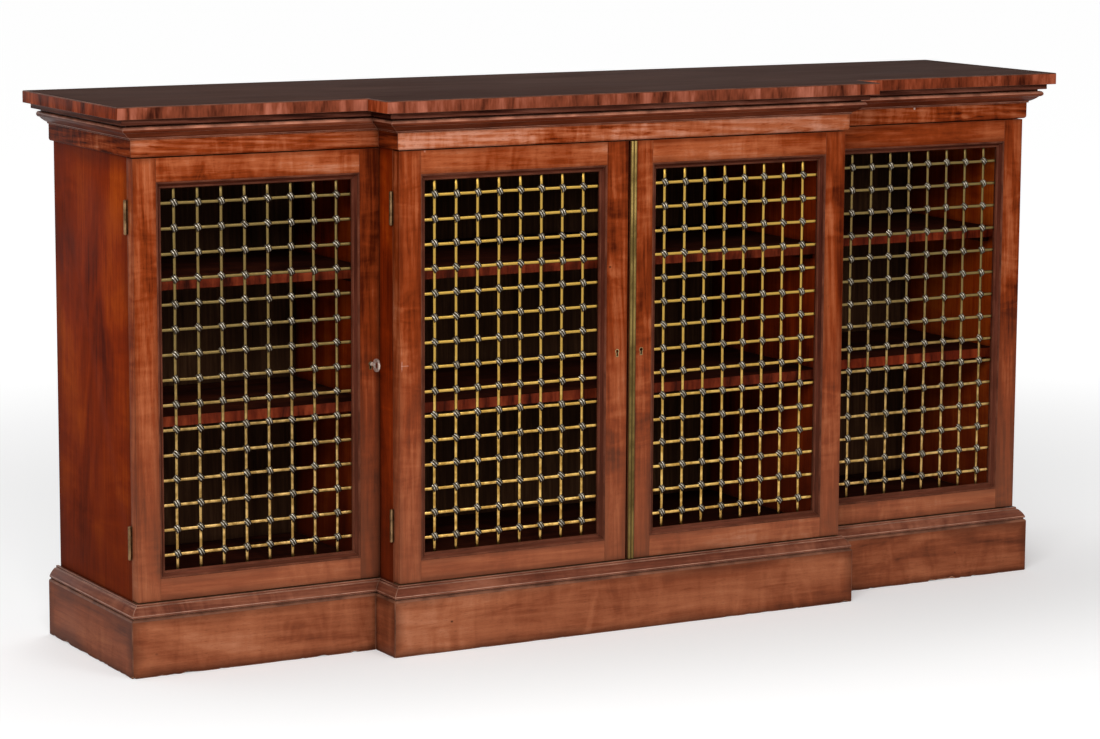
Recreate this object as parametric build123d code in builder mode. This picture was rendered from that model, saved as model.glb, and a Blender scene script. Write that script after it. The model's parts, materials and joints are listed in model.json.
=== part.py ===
from build123d import *
import os

os.makedirs("parts", exist_ok=True)

# Breakfront side cabinet: one carcass on a plinth, its centre standing forward of two wings, with
# four framed doors whose openings are filled by a brass lattice.
# X runs along the front, Y to the back and Z up, in millimetres. The origin is on the floor, in
# the middle of the cabinet's box.

# Plan of the cabinet
carcass_width = 2033.0  # over the faces of the end panels
centre_width = 1016.0  # over the faces of the partitions, where the centre steps forward
wing_depth = 394.0  # from the back of the carcass to the face of the wing doors
breakfront_step = 82.0  # how far the centre stands in front of the wings
back_returns = 10.0  # how far the frieze and the mouldings run on behind the carcass

# Heights, from the floor up
plinth_height = 112.0
base_moulding_height = 25.5
door_height = 836.0
frieze_height = 63.0
lining_thickness = 11.0
top_thickness = 23.5

# Clearances
door_gap = 2.0  # above and below a door
wall_gap = 1.5  # between a wing door and the side of the centre
meeting_gap = 4.5  # between the two centre doors
hinge_gap = 0.8  # between the back of a closed door and the carcass
joint_gap = 0.1  # glue line between the lengths of one frame
running_clearance = 0.05  # round a hinge pin
sliding_clearance = 0.3  # round a bolt, and between hinge knuckles
overrun = 5.0  # how far a cut runs past the wood

# Top board and the lining under its edge
top_overhang = 50.0  # past the door faces and the end panels
top_back_overhang = 32.0
top_corner_radius = 4.0
top_arris = 1.2
lining_overhang = 35.5
lining_back_overhang = 27.0
lining_width = 80.0

# Frieze and cornice, whose projections are all measured from the door faces
frieze_projection = 6.0
frieze_corner_radius = 5.5
frieze_rail_thickness = 20.0
cornice_height = 29.5
cornice_fillet_projection = 9.0
cornice_fillet_height = 3.0
cornice_slope_projection = 25.0
cornice_slope_height = 14.0
cornice_slope_sag = 1.0
cornice_nose_projection = 31.0
cornice_nose_height = 20.5
cornice_shoulder_projection = 27.0
cornice_shoulder_height = 25.0
cornice_neck_projection = 22.0

# Base moulding and plinth
base_projection = 20.0
base_quirk_depth = 2.5
base_quirk_height = 3.0
base_nose_height = 3.5
base_slope_top_projection = 9.0
base_slope_bulge = 1.0
base_fillet_projection = 6.0
base_fillet_height = 4.5
plinth_projection = 22.0
plinth_thickness = 32.0
plinth_arris = 2.5
plinth_rail_thickness = 22.0
plinth_rail_drop = 6.0  # the inner rails stay this much clear of the floor
block_leg = 38.0  # glue block in a plinth corner
block_height = 90.0

# Carcass
panel_thickness = 22.0
board_thickness = 21.0
housing_depth = 6.0
back_thickness = 9.0
back_rebate = 10.0
back_board_count = 10
back_chamfer = 2.0
shelf_thickness = 20.0
shelf_heights = (461.0, 721.0)  # undersides of the shelves
shelf_setback = 20.0  # behind the front edge of the carcass
shelf_clearance = 1.0
shelf_arris = 1.0
bearer_size = 14.0
bearer_setback = 30.0
bearer_chamfer = 5.0

# Doors
door_thickness = 27.0
hinge_stile_width = 46.2
wing_lock_stile_width = 42.0
left_meeting_stile_width = 47.5
right_meeting_stile_width = 51.5
meeting_line = -1.75  # middle of the gap between the centre doors
top_rail_width = 45.3
bottom_rail_width = 42.0
tenon_length = 28.0
tenon_thickness = 9.0
tenon_shoulder = 8.0

# Sunk moulding round each door's opening, measured in from the frame and back from the door's face
sight_width = 13.0
sight_bead_width = 3.4
sight_bead_flat = 0.9  # width of the slope on each side of the outer bead
sight_bead_rise = 1.0
sight_quirk_depth = 1.2
sight_slope_width = 9.4
sight_slope_depth = 8.2
sight_inner_bead_depth = 7.2
sight_edge_depth = 9.4

# Brass lattice
lattice_depth = 12.4  # of its face behind the door's face
lattice_columns = 8
lattice_rows = 15
lattice_margin = 0.6  # from the outer bars to the moulding, as a share of a space between bars
centre_lattice_shift = -4.0  # the centre doors' upright bars sit this much to one side
bar_width = 6.4
bar_thickness = 2.4
bar_front_width = 5.2
tie_length = 15.0
tie_width = 8.0
tie_height = 2.6
bead_size = 8.5
bead_chamfer = 4.0

# Hinges
hinge_spacing = 615.0  # between the middles of a door's two hinges
leaf_height = 63.5
leaf_width = 18.0
leaf_thickness = 1.8
leaf_gap = 0.3  # between the two closed leaves
knuckle_radius = 3.6
knuckle_count = 3
round_sides = 8  # small round parts, which repeat, have this many faces
knuckle_offset = 4.0  # pin axis outside the side of the carcass
pin_radius = 1.7
pin_stand_out = 1.2  # beyond the knuckles at each end

# Locks
lock_rise = 2.5  # key axis above the middle of the door
wing_key_inset = 19.0  # key axis in from the door's free edge
left_meeting_key_inset = 22.3
right_meeting_key_inset = 28.4
lock_tail = 19.0  # from the key's axis to the far side of the lock
lock_height = 50.0
lock_depth = 11.0
lock_wall = 1.5
bolt_depth = 5.0
bolt_head_reach = 9.7  # from the key's axis to the deep head of the bolt
bolt_tail_reach = 15.0  # from the key's axis to the end of the bolt's tail
bolt_bottom_rise = 3.0  # heights above the key's axis
bolt_tail_rise = 8.6
bolt_top_rise = 15.0
bolt_throw = 9.0
keyhole_radius = 3.1
keyhole_slot_width = 3.2
keyhole_slot_drop = 9.9
escutcheon_wall = 1.4
escutcheon_depth = 3.0
escutcheon_rise = 0.4  # proud of the door's face
strike_height = 40.0
strike_width = 12.0
strike_thickness = 1.5

# Key in the left wing door
key_shank_radius = 2.2
key_collar_radius = 3.7
key_collar_length = 2.0
key_collar_place = 4.0  # in front of the door's face
key_bow_radius = 13.0
key_bow_bar = 5.5
key_bow_thickness = 3.2
key_reach = 38.0  # from the door's face to the end of the bow
key_bit_length = 5.0
key_bit_drop = 8.0
key_bit_thickness = 2.0
key_tip_clearance = 0.5

# Slip bolts of the left-hand centre door
slip_inset = 17.0  # middle of the bolt in from the door's edge
slip_plate_width = 14.0
slip_plate_length = 65.0
slip_plate_thickness = 1.5
slip_end_gap = 5.0  # between the plate and the carcass board
slip_guide_length = 7.0
slip_guide_depth = 11.5
slip_rod_size = 5.0
slip_rod_offset = 8.0  # middle of the rod behind the door's back
slip_rod_length = 58.0
slip_rod_gap = 1.5
slip_throw = 12.0
slip_knob_radius = 2.4
slip_knob_length = 5.0

# Brass astragal on the meeting edge of the right-hand centre door
astragal_width = 14.6
astragal_base = 1.6
astragal_height = 4.0

# Worked out from the sizes above
end_x = carcass_width / 2
step_x = centre_width / 2
cabinet_depth = top_back_overhang + wing_depth + breakfront_step + top_overhang
back_y = cabinet_depth / 2 - top_back_overhang
wing_front_y = back_y - wing_depth
centre_front_y = wing_front_y - breakfront_step
wing_carcass_y = wing_front_y + door_thickness + hinge_gap
centre_carcass_y = centre_front_y + door_thickness + hinge_gap
back_face_y = back_y - back_thickness
door_bottom_z = plinth_height + base_moulding_height + door_gap
door_top_z = door_bottom_z + door_height
frieze_z = door_top_z + door_gap
lining_z = frieze_z + frieze_height
top_z = lining_z + lining_thickness
bottom_board_z = door_bottom_z - door_gap
bottom_face_z = bottom_board_z + board_thickness
top_board_z = frieze_z - board_thickness
door_middle_z = (door_bottom_z + door_top_z) / 2
hinge_heights = (door_middle_z - hinge_spacing / 2, door_middle_z + hinge_spacing / 2)
lock_z = door_middle_z + lock_rise
inner_end_x = end_x - panel_thickness
inner_step_x = step_x - panel_thickness
leaf_recess = leaf_thickness + leaf_gap / 2 - hinge_gap / 2

# Each door: name, left and right edges, face, left and right stile widths, keyhole's distance from
# the free edge, and side of the hinges
doors = (
    ("left_wing", -end_x, -step_x - wall_gap, wing_front_y,
     hinge_stile_width, wing_lock_stile_width, wing_key_inset, -1),
    ("centre_left", -step_x, meeting_line - meeting_gap / 2, centre_front_y,
     hinge_stile_width, left_meeting_stile_width, left_meeting_key_inset, -1),
    ("centre_right", meeting_line + meeting_gap / 2, step_x, centre_front_y,
     right_meeting_stile_width, hinge_stile_width, right_meeting_key_inset, 1),
    ("right_wing", step_x + wall_gap, end_x, wing_front_y,
     wing_lock_stile_width, hinge_stile_width, wing_key_inset, 1),
)


def block(x_from, x_to, y_from, y_to, z_from, z_to, mode=Mode.ADD):
    """A straight-sided piece of wood or metal, or the cut for one."""
    with BuildSketch(Plane.XY.offset(z_from)) as outline:
        with Locations(((x_from + x_to) / 2, (y_from + y_to) / 2)):
            Rectangle(abs(x_to - x_from), abs(y_to - y_from))
    extrude(outline.sketch, amount=z_to - z_from, mode=mode)


def save(piece, name):
    piece.part.label = name
    export_step(piece.part, f"parts/{name}.step")


def plan_corners(height, back_overhang):
    """Corners of the carcass in plan, from the back of the left end round to the right."""
    back = back_y + back_overhang
    return [
        Vector(-end_x, back, height), Vector(-end_x, wing_front_y, height),
        Vector(-step_x, wing_front_y, height), Vector(-step_x, centre_front_y, height),
        Vector(step_x, centre_front_y, height), Vector(step_x, wing_front_y, height),
        Vector(end_x, wing_front_y, height), Vector(end_x, back, height),
    ]


def opening_corners(left, right, front, left_stile, right_stile, depth):
    """Corners of a door's framed opening, at a depth behind the door's face."""
    low, high = door_bottom_z + bottom_rail_width, door_top_z - top_rail_width
    return [
        Vector(left + left_stile, front + depth, low), Vector(right - right_stile, front + depth, low),
        Vector(right - right_stile, front + depth, high), Vector(left + left_stile, front + depth, high),
    ]


def mitred_lengths(section, corners, up, closed=False):
    """Lengths of one section along a path of square corners, mitred where they meet.

    The section's X points away from the path, on its right-hand side, and its Y points up.
    """
    count = len(corners)
    runs = [(corners[i], corners[(i + 1) % count]) for i in range(count if closed else count - 1)]
    ways = [(end - start).normalized() for start, end in runs]
    lengths = []
    for i, (start, end) in enumerate(runs):
        outward = ways[i].cross(up)
        before = ways[i - 1] if i > 0 or closed else ways[i]
        after = ways[(i + 1) % len(ways)] if i + 1 < len(ways) or closed else ways[i]
        first_turn = before.cross(ways[i]).dot(up)
        last_turn = ways[i].cross(after).dot(up)
        with BuildPart() as length:
            with BuildSketch(Plane(origin=start, x_dir=outward, z_dir=outward.cross(up))):
                add(section)
            extrude(amount=(end - start).length + lining_width, both=True)
            first_cut = -ways[i] - outward * first_turn
            last_cut = ways[i] - outward * last_turn
            for corner, away in ((start, first_cut), (end, last_cut)):
                origin = corner - away.normalized() * joint_gap / 2
                split(bisect_by=Plane(origin=origin, z_dir=away), keep=Keep.BOTTOM)
        lengths.append(length.part)
    return lengths


def save_lengths(name, *sets):
    with BuildPart() as frame:
        add([length for lengths in sets for length in lengths])
    save(frame, name)


# Top board: one thick board that follows the breakfront plan, its front corners eased
with BuildPart() as top_board:
    front_x, inner_x = end_x + top_overhang, step_x + top_overhang
    with BuildSketch(Plane.XY.offset(top_z)):
        with BuildLine():
            Polyline(
                (-front_x, back_y + top_back_overhang), (-front_x, wing_front_y - top_overhang),
                (-inner_x, wing_front_y - top_overhang), (-inner_x, centre_front_y - top_overhang),
                (inner_x, centre_front_y - top_overhang), (inner_x, wing_front_y - top_overhang),
                (front_x, wing_front_y - top_overhang), (front_x, back_y + top_back_overhang),
                close=True,
            )
        make_face()
    extrude(amount=top_thickness)
    upright = top_board.edges().filter_by(Axis.Z)
    wing_edges = upright.group_by(Axis.Y)[1].sort_by(Axis.X)
    fillet([*upright.group_by(Axis.Y)[0], wing_edges[0], wing_edges[-1]], radius=top_corner_radius)
    chamfer(top_board.faces().sort_by(Axis.Z)[-1].edges(), length=top_arris)
save(top_board, "top_board")


# Lining: mitred boards under the edge of the top, which make it look thicker and carry the cornice
with BuildSketch() as lining_section:
    with Locations((lining_overhang - lining_width / 2, lining_thickness / 2)):
        Rectangle(lining_width, lining_thickness)
save_lengths("top_lining", mitred_lengths(
    lining_section.sketch, plan_corners(lining_z, lining_back_overhang - lining_overhang),
    Vector(0, 0, 1), closed=True))


# Cornice: a small fillet, a shallow hollow slope up to a rounded nose, and a narrow neck above it
with BuildSketch() as cornice_section:
    fillet_top = (cornice_fillet_projection, cornice_fillet_height)
    slope_top = (cornice_slope_projection, cornice_slope_height)
    with BuildLine():
        Polyline((frieze_projection, 0), (cornice_fillet_projection, 0), fillet_top)
        SagittaArc(fillet_top, slope_top, -cornice_slope_sag)
        ThreePointArc(
            slope_top, (cornice_nose_projection, cornice_nose_height),
            (cornice_shoulder_projection, cornice_shoulder_height))
        Polyline(
            (cornice_shoulder_projection, cornice_shoulder_height),
            (cornice_neck_projection, cornice_shoulder_height),
            (cornice_neck_projection, cornice_height), (frieze_projection, cornice_height),
            (frieze_projection, 0))
    make_face()
save_lengths("cornice_moulding", mitred_lengths(
    cornice_section.sketch, plan_corners(lining_z - cornice_height, back_returns), Vector(0, 0, 1)))


# Frieze: boards above the doors, proud of them, with a rounded lower edge
with BuildSketch() as frieze_section:
    with BuildLine():
        Polyline(
            (frieze_projection, frieze_corner_radius), (frieze_projection, frieze_height),
            (-panel_thickness, frieze_height), (-panel_thickness, 0),
            (frieze_projection - frieze_corner_radius, 0))
        RadiusArc(
            (frieze_projection - frieze_corner_radius, 0),
            (frieze_projection, frieze_corner_radius), -frieze_corner_radius)
    make_face()
save_lengths("frieze_boards", mitred_lengths(
    frieze_section.sketch, plan_corners(frieze_z, back_returns), Vector(0, 0, 1)))

# Carcass rails: in the frieze, standing on the carcass and holding the frieze boards, and below
# the doors, in front of the carcass and behind the base moulding
with BuildPart() as carcass_rails:
    for low_x, high_x, front in (
        (-inner_end_x, -step_x, wing_front_y), (-inner_step_x, inner_step_x, centre_front_y),
        (step_x, inner_end_x, wing_front_y),
    ):
        block(low_x + joint_gap, high_x - joint_gap, front + panel_thickness,
              front + door_thickness + hinge_gap + frieze_rail_thickness, frieze_z, lining_z)
    block(-inner_end_x, inner_end_x, back_face_y - frieze_rail_thickness, back_face_y,
          frieze_z, lining_z)
    for low_x, high_x, front in (
        (-end_x, -step_x - joint_gap, wing_front_y), (-step_x, step_x, centre_front_y),
        (step_x + joint_gap, end_x, wing_front_y),
    ):
        block(low_x, high_x, front, front + door_thickness + hinge_gap,
              plinth_height, bottom_board_z)
save(carcass_rails, "carcass_rails")


# Base moulding: stands on the plinth and covers the foot of the carcass
with BuildSketch() as base_section:
    slope_top_z = base_moulding_height - base_fillet_height
    nose_top = (base_projection, base_quirk_height + base_nose_height)
    slope_top = (base_slope_top_projection, slope_top_z)
    with BuildLine():
        Polyline(
            (0, 0), (base_projection - base_quirk_depth, 0),
            (base_projection - base_quirk_depth, base_quirk_height),
            (base_projection, base_quirk_height), nose_top)
        SagittaArc(nose_top, slope_top, -base_slope_bulge)
        Polyline(
            slope_top, (base_fillet_projection, slope_top_z),
            (base_fillet_projection, base_moulding_height), (0, base_moulding_height), (0, 0))
    make_face()
save_lengths("base_moulding", mitred_lengths(
    base_section.sketch, plan_corners(plinth_height, back_returns), Vector(0, 0, 1)))


# Plinth: boards mitred round the breakfront plan, their top arris taken off
with BuildSketch() as plinth_section:
    Polygon(
        (plinth_projection - plinth_thickness, 0), (plinth_projection, 0),
        (plinth_projection, plinth_height - plinth_arris),
        (plinth_projection - plinth_arris, plinth_height),
        (plinth_projection - plinth_thickness, plinth_height), align=None)
save_lengths("plinth_boards", mitred_lengths(
    plinth_section.sketch, plan_corners(0, back_returns), Vector(0, 0, 1)))

# Plinth bracing: a rail along the back, one under each partition, and three-cornered glue blocks
plinth_inset = plinth_thickness - plinth_projection
back_rail_y = back_y - plinth_rail_thickness
with BuildPart() as plinth_bracing:
    block(-end_x + plinth_inset, end_x - plinth_inset, back_rail_y, back_y,
          plinth_rail_drop, plinth_height)
    for side in (-1, 1):
        rail_x = side * (step_x - plinth_inset)
        block(rail_x, rail_x - side * plinth_rail_thickness, centre_front_y + plinth_inset,
              back_rail_y - joint_gap, plinth_rail_drop, plinth_height)
        for wall_x, front in (
            (side * (end_x - plinth_inset), wing_front_y),
            (rail_x - side * plinth_rail_thickness, centre_front_y),
        ):
            corner_x = wall_x - side * joint_gap
            for corner_y, inward in (
                (front + plinth_inset, 1), (back_rail_y - joint_gap, -1),
            ):
                with BuildSketch(Plane.XY.offset(plinth_height - block_height)):
                    Polygon(
                        (corner_x, corner_y), (corner_x - side * block_leg, corner_y),
                        (corner_x, corner_y + inward * block_leg), align=None)
                extrude(amount=block_height)
save(plinth_bracing, "plinth_bracing")


def cut_hinge_recesses(edge_x, inward, carcass_y):
    """Recesses in a front edge for the leaves of two hinges."""
    for z in hinge_heights:
        block(edge_x - inward * overrun, edge_x + inward * leaf_width, carcass_y - overrun,
              carcass_y + leaf_recess, z - leaf_height / 2, z + leaf_height / 2,
              mode=Mode.SUBTRACT)


def cut_housings(face_x, outward, carcass_y):
    """Housings in the face of a panel for the carcass bottom and the carcass top."""
    for low_z in (bottom_board_z, top_board_z):
        block(face_x + outward * overrun, face_x - outward * housing_depth, carcass_y,
              back_face_y, low_z, low_z + board_thickness, mode=Mode.SUBTRACT)


# End panels: rebated at the back for the back boards, housed for the carcass boards
for name, side in (("end_panel_left", -1), ("end_panel_right", 1)):
    with BuildPart() as end_panel:
        inner_face_x = side * inner_end_x
        block(side * end_x, inner_face_x, wing_carcass_y, back_y, plinth_height, frieze_z)
        block(inner_face_x - side * overrun, inner_face_x + side * back_rebate,
              back_face_y, back_y + overrun, plinth_height - overrun, frieze_z + overrun,
              mode=Mode.SUBTRACT)
        cut_housings(inner_face_x, -side, wing_carcass_y)
        cut_hinge_recesses(side * end_x, -side, wing_carcass_y)
    save(end_panel, name)

# Partitions: between the wings and the centre, their front part the side of the breakfront, each
# with a mortise for the bolt of the wing door's lock
bolt_middle_z = lock_z + (bolt_bottom_rise + bolt_top_rise) / 2
bolt_height = bolt_top_rise - bolt_bottom_rise
wing_bolt_y = wing_front_y + door_thickness - lock_depth / 2
for name, side in (("partition_left", -1), ("partition_right", 1)):
    with BuildPart() as partition:
        outer_face_x, inner_face_x = side * step_x, side * inner_step_x
        block(outer_face_x, inner_face_x, centre_carcass_y, back_face_y, plinth_height, frieze_z)
        cut_housings(outer_face_x, side, wing_carcass_y)
        cut_housings(inner_face_x, -side, centre_carcass_y)
        cut_hinge_recesses(outer_face_x, -side, centre_carcass_y)
        block(outer_face_x + side * overrun, outer_face_x - side * strike_thickness,
              wing_bolt_y - strike_width / 2, wing_bolt_y + strike_width / 2,
              bolt_middle_z - strike_height / 2, bolt_middle_z + strike_height / 2,
              mode=Mode.SUBTRACT)
        block(outer_face_x, outer_face_x - side * (bolt_throw + sliding_clearance),
              wing_bolt_y - bolt_depth / 2 - sliding_clearance,
              wing_bolt_y + bolt_depth / 2 + sliding_clearance,
              bolt_middle_z - bolt_height / 2 - sliding_clearance,
              bolt_middle_z + bolt_height / 2 + sliding_clearance, mode=Mode.SUBTRACT)
    save(partition, name)

# Strike plates: let into the partitions round the mortises of the wing doors' bolts
with BuildPart() as strike_plates:
    for side in (-1, 1):
        face_x = side * step_x
        block(face_x, face_x - side * strike_thickness,
              wing_bolt_y - strike_width / 2, wing_bolt_y + strike_width / 2,
              bolt_middle_z - strike_height / 2, bolt_middle_z + strike_height / 2)
        block(face_x + side * overrun, face_x - side * overrun,
              wing_bolt_y - bolt_depth / 2 - sliding_clearance,
              wing_bolt_y + bolt_depth / 2 + sliding_clearance,
              bolt_middle_z - bolt_height / 2 - sliding_clearance,
              bolt_middle_z + bolt_height / 2 + sliding_clearance, mode=Mode.SUBTRACT)
save(strike_plates, "strike_plates")

# Carcass bottoms and tops: one board in each wing and one in the centre, housed in the panels.
# The centre ones have a hole at the front for each slip bolt.
slip_x = meeting_line - meeting_gap / 2 - slip_inset
slip_rod_y = centre_front_y + door_thickness + slip_rod_offset
slip_hole = slip_rod_size + 2 * sliding_clearance
bays = (
    (-inner_end_x - housing_depth, -step_x + housing_depth, wing_carcass_y),
    (-inner_step_x - housing_depth, inner_step_x + housing_depth, centre_carcass_y),
    (step_x - housing_depth, inner_end_x + housing_depth, wing_carcass_y),
)
slip_hole_depth = slip_throw + sliding_clearance
for name, low_z, hole_z in (
    ("carcass_bottoms", bottom_board_z, bottom_face_z - slip_hole_depth),
    ("carcass_tops", top_board_z, top_board_z - overrun),
):
    with BuildPart() as carcass_boards:
        for low_x, high_x, front in bays:
            block(low_x, high_x, front, back_face_y, low_z, low_z + board_thickness)
        block(slip_x - slip_hole / 2, slip_x + slip_hole / 2,
              slip_rod_y - slip_hole / 2, slip_rod_y + slip_hole / 2,
              hole_z, hole_z + slip_hole_depth + overrun, mode=Mode.SUBTRACT)
    save(carcass_boards, name)

# Back: upright boards with a small V where they meet, in the rebates of the end panels
with BuildPart() as back_boards:
    inside_width = 2 * (inner_end_x + back_rebate)
    pitch = inside_width / back_board_count
    half = pitch / 2 - joint_gap / 2
    for number in range(back_board_count):
        middle_x = (number - (back_board_count - 1) / 2) * pitch
        with BuildSketch(Plane.XY.offset(plinth_height)):
            Polygon(
                (middle_x - half, back_face_y), (middle_x + half, back_face_y),
                (middle_x + half, back_y - back_chamfer),
                (middle_x + half - back_chamfer, back_y),
                (middle_x - half + back_chamfer, back_y),
                (middle_x - half, back_y - back_chamfer), align=None)
        extrude(amount=frieze_z - plinth_height)
save(back_boards, "back_boards")

# Shelves: two in each bay, resting on bearers, a little narrower than the bay
shelf_spaces = (
    ("left_wing", -inner_end_x, -step_x, wing_carcass_y),
    ("centre", -inner_step_x, inner_step_x, centre_carcass_y),
    ("right_wing", step_x, inner_end_x, wing_carcass_y),
)
for bay, low_x, high_x, front in shelf_spaces:
    for level, low_z in zip(("lower", "upper"), shelf_heights):
        with BuildPart() as shelf:
            block(low_x + shelf_clearance, high_x - shelf_clearance, front + shelf_setback,
                  back_face_y - shelf_clearance, low_z, low_z + shelf_thickness)
            front_edges = shelf.faces().sort_by(Axis.Y)[0].edges().filter_by(Axis.X)
            chamfer(front_edges, length=shelf_arris)
        save(shelf, f"shelf_{bay}_{level}")

# Shelf bearers: strips fixed to the panels under each end of each shelf, cut back at the front
with BuildPart() as shelf_bearers:
    for bay, low_x, high_x, front in shelf_spaces:
        for low_z in shelf_heights:
            for face_x, inward in ((low_x, 1), (high_x, -1)):
                back = back_face_y - joint_gap
                tip = front + shelf_setback + bearer_setback
                with BuildSketch(Plane.YZ.offset(face_x)):
                    Polygon(
                        (back, low_z), (tip, low_z), (tip, low_z - bearer_size + bearer_chamfer),
                        (tip + bearer_chamfer, low_z - bearer_size),
                        (back, low_z - bearer_size), align=None)
                extrude(amount=inward * bearer_size)
save(shelf_bearers, "shelf_bearers")


def draw_keyhole(x, z, wall=0, mode=Mode.ADD):
    """Keyhole outline with its round part on the key's axis, wall wider all round."""
    with Locations((x, z)):
        RegularPolygon(keyhole_radius + wall, round_sides, major_radius=False, mode=mode)
    with Locations((x, z - (keyhole_slot_drop + wall) / 2)):
        Rectangle(keyhole_slot_width + 2 * wall, keyhole_slot_drop + wall, mode=mode)


def cut_bolt_hole(from_x, to_x, bolt_y):
    """Hole for a lock's bolt, a little larger than the bolt all round."""
    toward = 1 if to_x > from_x else -1
    block(from_x - toward * overrun, to_x + toward * sliding_clearance,
          bolt_y - bolt_depth / 2 - sliding_clearance, bolt_y + bolt_depth / 2 + sliding_clearance,
          lock_z + bolt_bottom_rise - sliding_clearance, lock_z + bolt_top_rise + sliding_clearance,
          mode=Mode.SUBTRACT)


def add_slip_plate(end_z, up):
    """Plate of a slip bolt on the back of the door, with two guides that the rod runs through."""
    back = centre_front_y + door_thickness
    plate_back = back + slip_plate_thickness
    far_z = end_z - up * slip_plate_length
    block(slip_x - slip_plate_width / 2, slip_x + slip_plate_width / 2, back, plate_back,
          min(end_z, far_z), max(end_z, far_z))
    for guide_z in (end_z - up * slip_guide_length / 2, far_z + up * slip_guide_length / 2):
        block(slip_x - slip_plate_width / 2, slip_x + slip_plate_width / 2,
              plate_back, back + slip_guide_depth,
              guide_z - slip_guide_length / 2, guide_z + slip_guide_length / 2)
    block(slip_x - slip_hole / 2, slip_x + slip_hole / 2,
          slip_rod_y - slip_hole / 2, slip_rod_y + slip_hole / 2,
          min(end_z, far_z) - overrun, max(end_z, far_z) + overrun, mode=Mode.SUBTRACT)


def front_plane(y):
    """A plane at depth y whose X is the cabinet's X and whose Y is up, facing the front."""
    return Plane(origin=(0, y, 0), x_dir=(1, 0, 0), z_dir=(0, -1, 0))


def hinge_leaf(z, side, edge_x, axis_y, carcass):
    """One leaf and its knuckles, for the carcass or for the door, closed."""
    away = 1 if carcass else -1
    axis_x = edge_x + side * knuckle_offset
    near_y = axis_y + away * leaf_gap / 2
    far_y = near_y + away * leaf_thickness
    pitch = (leaf_height + sliding_clearance) / knuckle_count
    block(edge_x, edge_x - side * leaf_width, near_y, far_y, z - leaf_height / 2, z + leaf_height / 2)
    for number in range(0 if carcass else 1, knuckle_count, 2):
        low_z = z - leaf_height / 2 + number * pitch
        high_z = low_z + pitch - sliding_clearance
        block(axis_x, edge_x, near_y, far_y, low_z, high_z)
        with BuildSketch(Plane.XY.offset(low_z)) as knuckle:
            with Locations((axis_x, axis_y)):
                RegularPolygon(knuckle_radius, round_sides)
        extrude(knuckle.sketch, amount=high_z - low_z)
        with BuildSketch(Plane.XY.offset(low_z)) as bore:
            with Locations((axis_x, axis_y)):
                RegularPolygon(pin_radius + running_clearance, round_sides, major_radius=False)
        extrude(bore.sketch, amount=high_z - low_z, mode=Mode.SUBTRACT)


# Carcass leaves of the eight butt hinges, and the pins through their knuckles
with BuildPart() as hinge_leaves:
    for name, left, right, front, left_stile, right_stile, key_inset, side in doors:
        edge_x = left if side < 0 else right
        for z in hinge_heights:
            hinge_leaf(z, side, edge_x, front + door_thickness + hinge_gap / 2, carcass=True)
save(hinge_leaves, "hinge_leaves")

pin_length = leaf_height + 2 * pin_stand_out
with BuildPart() as hinge_pins:
    for name, left, right, front, left_stile, right_stile, key_inset, side in doors:
        axis_x = (left if side < 0 else right) + side * knuckle_offset
        for z in hinge_heights:
            with BuildSketch(Plane.XY.offset(z - pin_length / 2)):
                with Locations((axis_x, front + door_thickness + hinge_gap / 2)):
                    RegularPolygon(pin_radius, round_sides)
            extrude(amount=pin_length)
save(hinge_pins, "hinge_pins")

# Section of the sunk moulding: outer bead, quirk, slope, inner bead and sight edge
with BuildSketch() as sight_section:
    inner_bead_middle = (sight_slope_width + sight_width) / 2
    Polygon(
        (0, 0), (sight_bead_flat, -sight_bead_rise),
        (sight_bead_width - sight_bead_flat, -sight_bead_rise), (sight_bead_width, 0),
        (sight_bead_width, sight_quirk_depth), (sight_slope_width, sight_slope_depth),
        (inner_bead_middle, sight_inner_bead_depth), (sight_width, sight_edge_depth),
        (sight_width, lattice_depth), (0, lattice_depth), align=None)

# Section of the bead that holds the lattice from behind
with BuildSketch() as bead_section:
    Polygon(
        (0, 0), (bead_size, 0), (bead_size, bead_size - bead_chamfer),
        (bead_size - bead_chamfer, bead_size), (0, bead_size), align=None)

# Section of a lattice bar, its back on the line and its front narrower
with BuildSketch() as bar_section:
    Polygon(
        (-bar_width / 2, 0), (bar_width / 2, 0), (bar_front_width / 2, bar_thickness),
        (-bar_front_width / 2, bar_thickness), align=None)

# One tie, lying flat: a ridge with two sloping sides, running from upper left to lower right
with BuildPart() as tie:
    with BuildSketch(Plane(origin=(0, 0, 0), x_dir=(1, 1, 0), z_dir=(1, -1, 0))):
        Polygon((-tie_width / 2, 0), (tie_width / 2, 0), (0, tie_height), align=None)
    extrude(amount=tie_length / 2, both=True)
tie_shape = tie.part

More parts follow.
